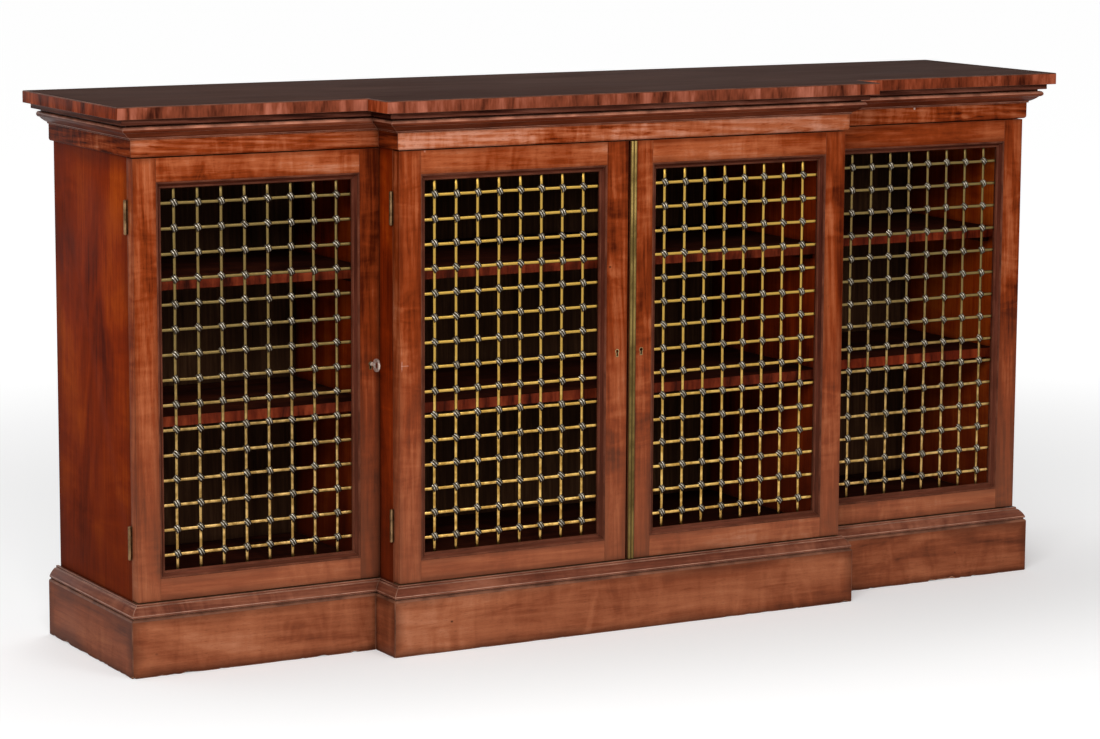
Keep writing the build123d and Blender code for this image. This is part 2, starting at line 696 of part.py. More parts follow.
# The four doors
for name, left, right, front, left_stile, right_stile, key_inset, side in doors:
    hinge_x, free_x = (left, right) if side < 0 else (right, left)
    back = front + door_thickness
    axis_y = back + hinge_gap / 2
    keyhole_x = free_x + side * key_inset
    lock_far_x = keyhole_x + side * lock_tail
    corners = opening_corners(left, right, front, left_stile, right_stile, 0)
    low_x, high_x = corners[0].X, corners[2].X
    low_z, high_z = corners[0].Z, corners[2].Z
    middle_x, middle_z = (low_x + high_x) / 2, (low_z + high_z) / 2
    lattice_x = middle_x + (centre_lattice_shift if name.startswith("centre") else 0)
    pitch_x = (high_x - low_x - 2 * sight_width) / (lattice_columns - 1 + 2 * lattice_margin)
    pitch_z = (high_z - low_z - 2 * sight_width) / (lattice_rows - 1 + 2 * lattice_margin)

    # Rails of the frame, with the tenons that enter the stiles
    tenon_y = front + (door_thickness - tenon_thickness) / 2
    tenons = (
        (door_bottom_z, low_z, door_bottom_z + tenon_shoulder, low_z),
        (high_z, door_top_z, high_z, door_top_z - tenon_shoulder),
    )
    with BuildPart() as rails:
        for rail_low, rail_high, tenon_low, tenon_high in tenons:
            block(low_x + joint_gap, high_x - joint_gap, front, back, rail_low, rail_high)
            block(low_x - tenon_length, high_x + tenon_length,
                  tenon_y, tenon_y + tenon_thickness, tenon_low, tenon_high)

    # Door frame: full-height stiles, mortised for the rails, and recessed for the fittings
    with BuildPart() as frame:
        block(left, low_x, front, back, door_bottom_z, door_top_z)
        block(high_x, right, front, back, door_bottom_z, door_top_z)
        for rail_low, rail_high, tenon_low, tenon_high in tenons:
            block(low_x - tenon_length - joint_gap, high_x + tenon_length + joint_gap,
                  tenon_y - joint_gap, tenon_y + tenon_thickness + joint_gap,
                  tenon_low - joint_gap, tenon_high + joint_gap, mode=Mode.SUBTRACT)
        for z in hinge_heights:
            block(hinge_x + side * overrun, hinge_x - side * leaf_width, back - leaf_recess,
                  back + overrun, z - leaf_height / 2, z + leaf_height / 2, mode=Mode.SUBTRACT)
        with BuildSketch(front_plane(front)):
            draw_keyhole(keyhole_x, lock_z, escutcheon_wall)
        extrude(amount=-escutcheon_depth, mode=Mode.SUBTRACT)
        if name == "centre_left":
            block(free_x + overrun, free_x - strike_thickness,
                  back - (lock_depth + strike_width) / 2, back - (lock_depth - strike_width) / 2,
                  bolt_middle_z - strike_height / 2, bolt_middle_z + strike_height / 2,
                  mode=Mode.SUBTRACT)
            cut_bolt_hole(free_x, free_x - bolt_throw, back - lock_depth / 2)
        else:
            with BuildSketch(front_plane(front)):
                draw_keyhole(keyhole_x, lock_z)
            extrude(amount=-door_thickness + lock_depth, mode=Mode.SUBTRACT)
            block(free_x - side * overrun, lock_far_x, back - lock_depth, back + overrun,
                  lock_z - lock_height / 2, lock_z + lock_height / 2, mode=Mode.SUBTRACT)
        add(rails.part)
    save(frame, f"{name}_door_frame")

    # Sunk moulding round the opening, and the bead behind the lattice
    save_lengths(f"{name}_sight_moulding", mitred_lengths(
        sight_section.sketch, corners, Vector(0, 1, 0), closed=True))
    bead_depth = lattice_depth + 2 * bar_thickness + joint_gap
    save_lengths(f"{name}_lattice_bead", mitred_lengths(
        bead_section.sketch,
        opening_corners(left, right, front, left_stile, right_stile, bead_depth),
        Vector(0, 1, 0), closed=True))

    # Lattice bars: the level ones in front of the upright ones
    level_y = front + lattice_depth + bar_thickness
    upright_y = level_y + joint_gap + bar_thickness
    with BuildPart() as bars:
        with BuildSketch(Plane(
            origin=(low_x + joint_gap, level_y, middle_z), x_dir=(0, 0, 1), z_dir=(1, 0, 0))):
            with GridLocations(pitch_z, pitch_z, lattice_rows, 1):
                add(bar_section.sketch)
        extrude(amount=high_x - low_x - 2 * joint_gap)
        with BuildSketch(Plane(
            origin=(lattice_x, upright_y, low_z + joint_gap), x_dir=(-1, 0, 0), z_dir=(0, 0, 1))):
            with GridLocations(pitch_x, pitch_x, lattice_columns, 1):
                add(bar_section.sketch)
        extrude(amount=high_z - low_z - 2 * joint_gap)
    save(bars, f"{name}_lattice_bars")

    # Ties: one across each crossing
    face = Plane(
        origin=(lattice_x, front + lattice_depth, middle_z), x_dir=(1, 0, 0), z_dir=(0, -1, 0))
    with BuildPart() as ties:
        with Locations(face):
            with GridLocations(pitch_x, pitch_z, lattice_columns, lattice_rows):
                add(tie_shape)
    save(ties, f"{name}_lattice_ties")

    # Door leaves of the two hinges
    with BuildPart() as door_leaves:
        for z in hinge_heights:
            hinge_leaf(z, side, hinge_x, axis_y, carcass=False)
    save(door_leaves, f"{name}_hinge_leaves")

    # Escutcheon round the keyhole, with either a lock in the back of the stile or, in the
    # left-hand centre door, the strike plate of the lock that meets it
    with BuildPart() as fittings:
        with BuildSketch(front_plane(front - escutcheon_rise)):
            draw_keyhole(keyhole_x, lock_z, escutcheon_wall)
            draw_keyhole(keyhole_x, lock_z, mode=Mode.SUBTRACT)
        extrude(amount=-escutcheon_depth - escutcheon_rise)
        if name == "centre_left":
            block(free_x, free_x - strike_thickness,
                  back - (lock_depth + strike_width) / 2, back - (lock_depth - strike_width) / 2,
                  bolt_middle_z - strike_height / 2, bolt_middle_z + strike_height / 2)
            cut_bolt_hole(free_x, free_x - bolt_throw, back - lock_depth / 2)
            for up, board_z in ((-1, bottom_face_z), (1, top_board_z)):
                add_slip_plate(board_z - up * slip_end_gap, up)
        else:
            block(free_x, lock_far_x, back - lock_depth, back,
                  lock_z - lock_height / 2, lock_z + lock_height / 2)
            block(free_x + side * lock_wall, lock_far_x - side * lock_wall,
                  back - lock_depth + lock_wall, back - lock_wall,
                  lock_z - lock_height / 2 + lock_wall, lock_z + lock_height / 2 - lock_wall,
                  mode=Mode.SUBTRACT)
            cut_bolt_hole(free_x, free_x + side * lock_wall, back - lock_depth / 2)
            with BuildSketch(front_plane(back - lock_depth)):
                draw_keyhole(keyhole_x, lock_z)
            extrude(amount=-lock_wall, mode=Mode.SUBTRACT)
    save(fittings, f"{name}_door_fittings")

    # Bolt of the lock: a deep head, and a shallow tail that passes over the key's bit
    if name != "centre_left":
        head_x = free_x + side * sliding_clearance
        with BuildPart() as bolt:
            block(head_x, keyhole_x - side * bolt_head_reach,
                  back - (lock_depth + bolt_depth) / 2, back - (lock_depth - bolt_depth) / 2,
                  lock_z + bolt_bottom_rise, lock_z + bolt_top_rise)
            block(head_x, keyhole_x + side * bolt_tail_reach,
                  back - (lock_depth + bolt_depth) / 2, back - (lock_depth - bolt_depth) / 2,
                  lock_z + bolt_tail_rise, lock_z + bolt_top_rise)
        save(bolt, f"{name}_lock_bolt")

# Key of the left wing door: ring bow, collar, round shank and a bit that hangs down at rest
key_x = -step_x - wall_gap - wing_key_inset
bow_y = wing_front_y - key_reach + key_bow_radius
shank_y = bow_y + key_bow_radius - key_bow_bar / 2
key_tip_y = wing_front_y + door_thickness - lock_wall - key_tip_clearance
collar_y = wing_front_y - key_collar_place - key_collar_length
bit_y = wing_bolt_y - key_bit_length / 2
with BuildPart() as key:
    with BuildSketch(Plane.YZ.offset(key_x - key_bow_thickness / 2)):
        with Locations((bow_y, lock_z)):
            RegularPolygon(key_bow_radius, 2 * round_sides)
            RegularPolygon(key_bow_radius - key_bow_bar, 2 * round_sides, mode=Mode.SUBTRACT)
    extrude(amount=key_bow_thickness)
    for radius, near_y, far_y in (
        (key_shank_radius, shank_y, key_tip_y),
        (key_collar_radius, collar_y, collar_y + key_collar_length),
    ):
        with BuildSketch(front_plane(far_y)):
            with Locations((key_x, lock_z)):
                RegularPolygon(radius, round_sides)
        extrude(amount=far_y - near_y)
    block(key_x - key_bit_thickness / 2, key_x + key_bit_thickness / 2,
          bit_y, bit_y + key_bit_length, lock_z - key_bit_drop, lock_z)
save(key, "key")

# Slip bolts behind the left-hand centre door, drawn back: a square rod and a small knob
for name, up, board_z in (("slip_bolt_bottom", -1, bottom_face_z), ("slip_bolt_top", 1, top_board_z)):
    tip_z = board_z - up * slip_rod_gap
    knob_z = board_z - up * (slip_end_gap + slip_plate_length / 2)
    with BuildPart() as slip_bolt:
        block(slip_x - slip_rod_size / 2, slip_x + slip_rod_size / 2,
              slip_rod_y - slip_rod_size / 2, slip_rod_y + slip_rod_size / 2,
              min(tip_z, tip_z - up * slip_rod_length), max(tip_z, tip_z - up * slip_rod_length))
        with BuildSketch(front_plane(slip_rod_y + slip_rod_size / 2)):
            with Locations((slip_x, knob_z)):
                RegularPolygon(slip_knob_radius, round_sides)
        extrude(amount=-slip_knob_length)
    save(slip_bolt, name)

# Astragal: brass strip with two reeds along the meeting edge of the right-hand centre door
with BuildPart() as astragal:
    astragal_x = meeting_line + meeting_gap / 2
    base_y, crest_y = centre_front_y - astragal_base, centre_front_y - astragal_height
    with BuildSketch(Plane.XY.offset(door_bottom_z)):
        with BuildLine():
            Polyline(
                (astragal_x, base_y), (astragal_x, centre_front_y),
                (astragal_x + astragal_width, centre_front_y), (astragal_x + astragal_width, base_y))
            for reed in (0, 1):
                start_x = astragal_x + reed * astragal_width / 2
                ThreePointArc(
                    (start_x, base_y), (start_x + astragal_width / 4, crest_y),
                    (start_x + astragal_width / 2, base_y))
        make_face()
    extrude(amount=door_height)
save(astragal, "astragal")
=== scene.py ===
import json
import math
import random

import bmesh
import bpy
from mathutils import Matrix, Vector, noise

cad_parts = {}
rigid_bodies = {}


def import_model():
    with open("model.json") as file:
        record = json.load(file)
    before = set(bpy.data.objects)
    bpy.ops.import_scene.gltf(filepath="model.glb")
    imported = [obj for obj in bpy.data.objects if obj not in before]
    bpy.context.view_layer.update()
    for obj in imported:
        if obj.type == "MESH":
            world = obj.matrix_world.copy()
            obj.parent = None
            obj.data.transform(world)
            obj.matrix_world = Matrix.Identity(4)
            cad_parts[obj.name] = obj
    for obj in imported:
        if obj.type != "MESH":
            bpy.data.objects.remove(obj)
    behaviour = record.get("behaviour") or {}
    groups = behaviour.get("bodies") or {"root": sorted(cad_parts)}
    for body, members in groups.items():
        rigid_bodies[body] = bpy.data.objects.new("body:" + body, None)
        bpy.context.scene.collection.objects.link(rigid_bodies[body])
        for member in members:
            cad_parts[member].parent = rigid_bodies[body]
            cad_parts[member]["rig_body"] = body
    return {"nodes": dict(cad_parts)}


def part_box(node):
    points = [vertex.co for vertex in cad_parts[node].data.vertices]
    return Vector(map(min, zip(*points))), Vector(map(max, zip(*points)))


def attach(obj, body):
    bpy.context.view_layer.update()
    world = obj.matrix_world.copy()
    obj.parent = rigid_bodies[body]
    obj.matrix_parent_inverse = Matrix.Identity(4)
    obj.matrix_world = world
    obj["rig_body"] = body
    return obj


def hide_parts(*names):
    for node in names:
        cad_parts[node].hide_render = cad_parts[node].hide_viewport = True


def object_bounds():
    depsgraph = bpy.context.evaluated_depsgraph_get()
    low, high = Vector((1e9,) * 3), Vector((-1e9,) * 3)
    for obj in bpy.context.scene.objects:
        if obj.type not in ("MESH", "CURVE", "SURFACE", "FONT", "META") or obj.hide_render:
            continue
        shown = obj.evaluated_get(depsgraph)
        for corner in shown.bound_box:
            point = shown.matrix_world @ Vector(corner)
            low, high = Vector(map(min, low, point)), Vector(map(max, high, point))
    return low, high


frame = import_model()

cad_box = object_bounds()


# The studio: a pale floor that runs on as the backdrop, soft lamps and a long lens. The floor's
# own light shows to the camera and in reflections only, so that the cabinet's shadow stays on it.
def srgb(red, green, blue):
    """A colour as a picture shows it, from 0 to 255, as the light value that shaders take."""
    channels = [value / 255 for value in (red, green, blue)]
    return (*[c / 12.92 if c <= 0.04045 else ((c + 0.055) / 1.055) ** 2.4 for c in channels], 1.0)


def put(tree, kind, inputs=None, **settings):
    """Adds a node: settings are its own properties, inputs are values or sockets to link."""
    made = tree.nodes.new(kind)
    for setting, value in settings.items():
        setattr(made, setting, value)
    for key, value in (inputs or {}).items():
        if isinstance(value, bpy.types.NodeSocket):
            tree.links.new(value, made.inputs[key])
        else:
            made.inputs[key].default_value = value
    return made


def maths(tree, operation, *terms):
    """What comes of one operation on these numbers or sockets."""
    return put(tree, "ShaderNodeMath", dict(enumerate(terms)), operation=operation).outputs[0]


def spread(tree, value, low, high, to_low=0.0, to_high=1.0):
    """Carries a value between low and high to its like place between to_low and to_high."""
    return put(tree, "ShaderNodeMapRange", {
        0: value, 1: low, 2: high, 3: to_low, 4: to_high}).outputs[0]


def new_material(name):
    material = bpy.data.materials.new(name)
    material.use_nodes = True
    material.node_tree.nodes.clear()
    return material, material.node_tree


def seen_directly(tree):
    """1 for what the camera sees, also in a reflection or through glass, and 0 for light."""
    path = put(tree, "ShaderNodeLightPath").outputs
    seen = maths(tree, "MAXIMUM", path["Is Camera Ray"], path["Is Glossy Ray"])
    return maths(tree, "MAXIMUM", seen, path["Is Transmission Ray"])


floor_size = 60.0
floor_grey = 0.8
near_glow, far_glow = 0.27, 0.7
near, far = 1.3, 4.5  # metres from the middle of the cabinet
material, tree = new_material("studio_floor")
seen = seen_directly(tree)
spot = put(tree, "ShaderNodeTexCoord").outputs["Object"]
away = put(tree, "ShaderNodeVectorMath", {0: spot}, operation="LENGTH").outputs["Value"]
glow = put(tree, "ShaderNodeMapRange", {0: away, 1: near, 2: far, 3: near_glow, 4: far_glow},
           interpolation_type="SMOOTHSTEP")
plain = put(tree, "ShaderNodeBsdfDiffuse", {"Color": (floor_grey, floor_grey, floor_grey, 1)})
lit = put(tree, "ShaderNodeEmission", {
    "Strength": maths(tree, "MULTIPLY", seen, glow.outputs[0])})
both = put(tree, "ShaderNodeAddShader", {0: plain.outputs[0], 1: lit.outputs[0]})
put(tree, "ShaderNodeOutputMaterial", {"Surface": both.outputs[0]})

mesh = bpy.data.meshes.new("studio_floor")
half = floor_size / 2
mesh.from_pydata(
    [(-half, -half, 0), (half, -half, 0), (half, half, 0), (-half, half, 0)], [], [(0, 1, 2, 3)])
mesh.materials.append(material)
floor = bpy.data.objects.new("studio_floor", mesh)
bpy.context.scene.collection.objects.link(floor)

world = bpy.data.worlds.new("studio")
bpy.context.scene.world = world
world.use_nodes = True
world.node_tree.nodes.clear()
world_light = 0.36  # what it sheds on the cabinet
world_white = 0.94  # what the camera sees of it
tree = world.node_tree
background = put(tree, "ShaderNodeBackground", {
    "Color": (1, 1, 1, 1),
    "Strength": spread(tree, seen_directly(tree), 0.0, 1.0, world_light, world_white)})
put(tree, "ShaderNodeOutputWorld", {"Surface": background.outputs[0]})


def softbox(name, place, target, width, height, watts):
    lamp = bpy.data.lights.new(name, "AREA")
    lamp.shape = "RECTANGLE"
    lamp.size = width
    lamp.size_y = height
    lamp.energy = watts
    holder = bpy.data.objects.new(name, lamp)
    holder.location = place
    holder.rotation_euler = (Vector(target) - Vector(place)).to_track_quat("-Z", "Y").to_euler()
    bpy.context.scene.collection.objects.link(holder)


softbox("key_softbox", place=(-2.7, -3.4, 3.0), target=(-0.4, 0, 0.7), width=2.2, height=1.6,
        watts=118)
softbox("front_softbox", place=(1.2, -4.8, 2.6), target=(0.2, 0, 0.6), width=2.0, height=1.6,
        watts=62)
softbox("top_softbox", place=(-0.4, 0.8, 3.6), target=(0, 0, 0.9), width=3.0, height=1.4,
        watts=46)

# The camera stands to the left of the front, half a metre above the top, and looks a little down.
yaw, pitch, roll = 0.5135, 0.1544, 0.0050
camera_place = Vector((-3.468, -6.062, 1.577))
camera = bpy.data.objects.new("camera", bpy.data.cameras.new("camera"))
camera.data.sensor_width = 36.0
camera.data.lens = 113.43
level = Vector((math.sin(yaw), math.cos(yaw), 0))
forward = level * math.cos(pitch) - Vector((0, 0, math.sin(pitch)))
flat_up = level * math.sin(pitch) + Vector((0, 0, math.cos(pitch)))
flat_right = Vector((math.cos(yaw), -math.sin(yaw), 0))
right = flat_right * math.cos(roll) + flat_up * math.sin(roll)
up = flat_up * math.cos(roll) - flat_right * math.sin(roll)
turn = Matrix((right, up, -forward)).transposed().to_4x4()
camera.matrix_world = Matrix.Translation(camera_place) @ turn
bpy.context.scene.collection.objects.link(camera)
bpy.context.scene.camera = camera
bpy.context.scene.view_settings.view_transform = "Standard"


# Plinth: mahogany boards about 32 mm thick, mitred at the corners, dull and knocked along the
# floor. Inside it are pine rails and glue blocks.
def vector_maths(tree, operation, *terms):
    """What comes of one operation on these vectors or sockets."""
    return put(tree, "ShaderNodeVectorMath", dict(enumerate(terms)), operation=operation).outputs[0]


def parted(tree, vector):
    """The x, y and z of a vector."""
    return put(tree, "ShaderNodeSeparateXYZ", {0: vector}).outputs


def blend(tree, share, first, second, way="MIX"):
    """Two colours mixed, from the first at a share of 0 to the second at 1."""
    return put(tree, "ShaderNodeMix", {0: share, 6: first, 7: second},
               data_type="RGBA", blend_type=way).outputs[2]


def shaded(tree, value, first, last, *between):
    """The colour that a value stands for: each stop is a place on the scale and its colour."""
    scale = put(tree, "ShaderNodeValToRGB", {0: value})
    stops = scale.color_ramp.elements
    stops[0].position, stops[0].color = first
    stops[1].position, stops[1].color = last
    for place, colour in between:
        stops.new(place).color = colour
    return scale.outputs[0]


def skin(tree, inputs):
    """Ends a material with the one surface that it has."""
    surface = put(tree, "ShaderNodeBsdfPrincipled", inputs)
    put(tree, "ShaderNodeOutputMaterial", {"Surface": surface.outputs[0]})


def wood(name, dark, middle, light, pale, roughness=0.42, figure=1.0, flame=0.8, curl=0.5,
         rings=0.4, lines=0.4, streaks=0.3, marks=0.5, painted_corner_shade=0.7, specular=0.05, low_tint=0.35,
         low_tint_colour=srgb(150, 100, 76), edge=0.4, edge_reach=0.012, bump=0.25):
    """Finished wood whose pattern follows the attribute grain_at: its X runs along the grain.
    flame is the broad figure, curl the mottle across the grain, rings the long wavy lines,
    lines the fine grain, streaks the almost black veins and marks the small dents. The corner
    shade setting paints shade into the corners, gaps and holes that ambient occlusion finds. A
    board is darker within edge_reach of its edges, and towards the floor it turns to a given
    colour: on most boards a pale one, a painted reflection of the floor on dusty wood."""
    material, tree = new_material(name)
    along = put(tree, "ShaderNodeAttribute", attribute_name="grain_at").outputs["Vector"]
    board_tone = put(tree, "ShaderNodeAttribute", attribute_name="board_tone").outputs["Fac"]
    where = put(tree, "ShaderNodeTexCoord").outputs
    place = where["Object"]

    def stretched(scale_along, scale_across):
        return put(tree, "ShaderNodeMapping", {
            "Vector": along, "Scale": (scale_along, scale_across, scale_across)}).outputs[0]

    def cloud(scale_along, scale_across, detail, distortion=0.0, rough=0.55):
        return put(tree, "ShaderNodeTexNoise", {
            "Vector": stretched(scale_along, scale_across), "Scale": 1.0, "Detail": detail,
            "Roughness": rough, "Distortion": distortion}).outputs[0]

    def swing(value, low=0.3, high=0.7):
        return spread(tree, value, low, high, -1.0, 1.0)

    def add(value, weight, to):
        return maths(tree, "MULTIPLY_ADD", value, weight, to)

    # The scales are about how many lumps go to a metre, along the grain and across it.
    broad = cloud(2.6 * figure, 11.0 * figure, detail=4, distortion=1.2)
    across = cloud(34.0 * figure, 10.0 * figure, detail=4, distortion=1.1)
    thread = cloud(5.5, 190.0, detail=4, distortion=0.4, rough=0.66)
    pores = cloud(90.0, 1100.0, detail=2)
    patch = cloud(3.2, 4.6, detail=3, distortion=0.4)
    vein = cloud(7.0 * figure, 62.0 * figure, detail=4, distortion=2.2, rough=0.6)
    ring = put(tree, "ShaderNodeTexWave", {
        "Vector": stretched(3.4 * figure, 44.0 * figure), "Scale": 1.0, "Distortion": 9.0,
        "Detail": 2.0, "Detail Scale": 0.55, "Detail Roughness": 0.6},
        bands_direction="DIAGONAL").outputs["Fac"]

    # The tone of a point is its place on the scale from dark to pale. The curl comes in patches.
    full_swing = 0.32
    curled = maths(tree, "MULTIPLY", swing(across), spread(tree, patch, 0.42, 0.62, 0.15, 1.0))
    tone = add(swing(broad), flame * full_swing, 0.5)
    tone = add(curled, curl * full_swing, tone)
    tone = add(swing(thread), lines * full_swing, tone)
    tone = add(swing(ring, 0.0, 1.0), rings * 0.2, tone)
    tone = add(spread(tree, vein, 0.56, 0.7), streaks * -0.4, tone)
    tone = maths(tree, "ADD", tone, board_tone)
    colour = shaded(tree, tone, (0.22, dark), (0.86, pale), (0.46, middle), (0.66, light))
    colour = blend(tree, spread(tree, pores, 0.56, 0.72, 0.0, 0.45), colour, dark)

    # Dents are dark dots, here and there on what faces the front.
    flat = put(tree, "ShaderNodeMapping", {"Vector": place, "Scale": (12.0, 0.0, 16.0)})
    dents = put(tree, "ShaderNodeTexVoronoi", {"Vector": flat.outputs[0], "Scale": 1.0})
    dent = spread(tree, dents.outputs["Distance"], 0.05, 0.015, 0.0, marks)
    facing = parted(tree, where["Normal"])[1]
    dent = maths(tree, "MULTIPLY", dent, spread(tree, facing, -0.8, -0.9))
    dent = maths(tree, "MULTIPLY", dent, spread(tree, patch, 0.45, 0.55))
    colour = blend(tree, dent, colour, srgb(24, 10, 6))

    # Of a point's three ways out of its board, the second shortest leads to the nearest edge.
    out_from = put(tree, "ShaderNodeAttribute", attribute_name="from_middle").outputs["Vector"]
    half_size = put(tree, "ShaderNodeAttribute", attribute_name="half_size").outputs["Vector"]
    left = vector_maths(tree, "SUBTRACT", half_size, vector_maths(tree, "ABSOLUTE", out_from))
    left_x, left_y, left_z = parted(tree, left)
    longer = maths(tree, "MAXIMUM", left_x, left_y)
    to_edge = maths(tree, "MAXIMUM", maths(tree, "MINIMUM", left_x, left_y),
                    maths(tree, "MINIMUM", longer, left_z))
    to_edge = add(swing(patch, 0.35, 0.65), edge_reach * 0.6, to_edge)
    colour = blend(tree, spread(tree, to_edge, edge_reach, 0.0, 0.0, edge), colour, dark)

    # Towards the floor the colour turns to a given one: on most boards a pale one, a painted
    # reflection of the floor on dusty wood; on the end panels a darker one.
    height = parted(tree, place)[2]
    colour = blend(tree, spread(tree, height, 0.62, 0.05, 0.0, low_tint), colour, low_tint_colour)
    # Painted shade: corners, gaps and holes that ambient occlusion finds are darkened towards near
    # black.
    corner = put(tree, "ShaderNodeAmbientOcclusion", {"Distance": 0.018}, samples=6)
    painted_shade = spread(tree, corner.outputs["AO"], 0.15, 0.9, painted_corner_shade, 0.0)
    colour = blend(tree, painted_shade, colour, srgb(20, 9, 6))

    rough = spread(tree, patch, 0.3, 0.7, roughness - 0.06, roughness + 0.08)
    relief = add(broad, 0.8, add(pores, -0.5, add(thread, 0.6, 0.0)))
    relief = put(tree, "ShaderNodeBump", {"Strength": bump, "Distance": 0.001, "Height": relief})
    skin(tree, {"Base Color": colour, "Roughness": add(thread, 0.1, rough),
                "Specular IOR Level": specular, "Normal": relief.outputs[0]})
    return material


def rubbed_and_lit_arris(name, colour, roughness=0.3, specular=0.2):
    """The rubbed, shiny edge of a board, lighter than its faces: a painted highlight along
    the arris, mixed with wear.
    """
    material, tree = new_material(name)
    place = put(tree, "ShaderNodeTexCoord").outputs["Object"]
    rub = put(tree, "ShaderNodeTexNoise", {"Vector": place, "Scale": 26.0, "Detail": 4.0})
    unrubbed = (colour[0] * 0.42, colour[1] * 0.4, colour[2] * 0.4, 1)
    skin(tree, {"Base Color": shaded(tree, rub.outputs[0], (0.36, unrubbed), (0.66, colour)),
                "Roughness": roughness, "Specular IOR Level": specular})
    return material


def islands(shape):
    """The loose solids of a mesh, each as a list of its vertices."""
    found, seen = [], set()
    for first in shape.verts:
        if first in seen:
            continue
        seen.add(first)
        group, waiting = [], [first]
        while waiting:
            vertex = waiting.pop()
            group.append(vertex)
            for edge in vertex.link_edges:
                other = edge.other_vert(vertex)
                if other not in seen:
                    seen.add(other)
                    waiting.append(other)
        found.append(group)
    return found


def applied(thing):
    """Turns an object with modifiers into one with the plain mesh that they give."""
    bpy.context.view_layer.update()
    graph = bpy.context.evaluated_depsgraph_get()
    made = bpy.data.meshes.new_from_object(
        thing.evaluated_get(graph), preserve_all_data_layers=True, depsgraph=graph)
    thing.modifiers.clear()
    thing.data = made
    return thing


grain_range = 20.0  # each board's grain is cut from its own place in so many metres of pattern
own_tone = 0.03  # how far a board's tone can be from that of its kind


def finished(node, materials, arris, steps=2, seed=1, angle=25.0, sort=None, tones=None):
    """A node's own shape with its arrises eased, each of its boards with a grain of its own.
    Eased edges take the second material. sort, if given, tells a face's material, and tones
    a board's tone by its middle and its longest axis."""
    shape = bmesh.new()
    shape.from_mesh(frame["nodes"][node].data)
    bmesh.ops.remove_doubles(shape, verts=shape.verts, dist=0.000002)
    bmesh.ops.dissolve_limit(
        shape, angle_limit=math.radians(0.5), verts=shape.verts, edges=shape.edges)
    grain = shape.verts.layers.float_vector.new("grain_at")
    shade = shape.verts.layers.float.new("board_tone")
    from_middle = shape.verts.layers.float_vector.new("from_middle")
    half_size = shape.verts.layers.float_vector.new("half_size")
    chance = random.Random(seed)
    for board in islands(shape):
        low = Vector([min(v.co[k] for v in board) for k in range(3)])
        high = Vector([max(v.co[k] for v in board) for k in range(3)])
        spans, middle = list(high - low), (low + high) / 2
        longest = spans.index(max(spans))
        shift = [chance.uniform(0, grain_range) for k in range(3)]
        tone = tones(middle, longest) if tones else 0.0
        tone += own_tone * (shift[0] - grain_range / 2) / (grain_range / 2)
        for v in board:
            v[grain] = [v.co[(longest + k) % 3] + shift[k] for k in range(3)]
            v[shade] = tone
            v[from_middle] = v.co - middle
            v[half_size] = (high - low) / 2
    for face in shape.faces:
        face.smooth = True
        if sort is not None:
            face.material_index = sort(face)
    mesh = bpy.data.meshes.new(node + "_finished")
    shape.to_mesh(mesh)
    shape.free()
    for material in materials:
        mesh.materials.append(material)
    piece = bpy.data.objects.new(node + "_finished", mesh)
    bpy.context.scene.collection.objects.link(piece)
    ease = piece.modifiers.new("arris", "BEVEL")
    ease.width = arris
    ease.segments = steps
    ease.limit_method = "ANGLE"
    ease.angle_limit = math.radians(angle)
    ease.harden_normals = True
    ease.use_clamp_overlap = True
    if len(materials) > 1:
        ease.material = 1
    applied(piece)
    body = frame["nodes"][node]["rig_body"]
    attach(piece, body)
    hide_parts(node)
    return piece


plinth_wood = wood("plinth_mahogany", srgb(74, 34, 20), srgb(132, 68, 41), srgb(162, 94, 62),
                   srgb(184, 118, 86), figure=0.7, flame=0.6, curl=0.34, rings=0.12, lines=0.17,
                   streaks=0.2, marks=0.9, low_tint=0.05, edge=0.66, edge_reach=0.026, specular=0.04,
                   painted_corner_shade=0.95)
plinth_edge = rubbed_and_lit_arris("plinth_arris", srgb(132, 84, 62), roughness=0.4, specular=0.1)
# Painted light: the plinth's front is toned paler on the left and in the middle and darker on the
# right.
plinth_light_tones = {"left": 0.1, "centre": 0.11, "right": -0.03, "return": 0.0}
front_axis = 0  # the boards that are longest along x run along the front


def plinth_light_tone(middle, longest):
    """Darker at the right-hand end of the front: painted shade where the light falls off."""
    if longest != front_axis:
        return plinth_light_tones["return"]
    if abs(middle.x) < 0.3:
        return plinth_light_tones["centre"]
    return plinth_light_tones["left"] if middle.x < 0 else plinth_light_tones["right"]


plinth_chip = rubbed_and_lit_arris("plinth_chip", srgb(204, 146, 112), roughness=0.6, specular=0.05)
chip_slot = 2  # where plinth_chip stands in the plinth's list of materials, from 0
plinth_arris = 0.0026  # knocked rounder than the edges higher up
plinth = finished("plinth_boards", [plinth_wood, plinth_edge, plinth_chip], plinth_arris,
                  seed=11, tones=plinth_light_tone, steps=3)

on_arris = plinth_arris + 0.0002  # how far a point of the lower arris can be from the outer face
strip_height = 0.011  # of the lowest part of the boards, which is cut finely for the chips
strip_faces_top = strip_height - 0.0005  # the faces with chips end below this
chip_faces_low = plinth_arris + 0.0011  # and reach above this
finest_cut, widest_cut = 0.004, 0.014
chip_kinds = ((21, 0.2, 0.004), (140, 0.25, 0.007))  # lumps to a metre, how rare, how deep
chip_slope = 0.45  # how far a chip goes into the face for its height
least_outer_area = 0.004  # smaller faces belong to the arrises
shape = bmesh.new()
shape.from_mesh(plinth.data)
shape.normal_update()
outer_planes = set()
for face in shape.faces:
    for axis in (0, 1):
        at = face.calc_center_median()[axis]
        outwards = math.copysign(1, at) if axis == front_axis else -1
        if face.normal[axis] * outwards > 0.9 and face.calc_area() > least_outer_area:
            outer_planes.add((axis, round(at, 4)))
bmesh.ops.bisect_plane(
    shape, geom=shape.verts[:] + shape.edges[:] + shape.faces[:], dist=0.00001,
    plane_co=(0, 0, strip_height), plane_no=(0, 0, 1))
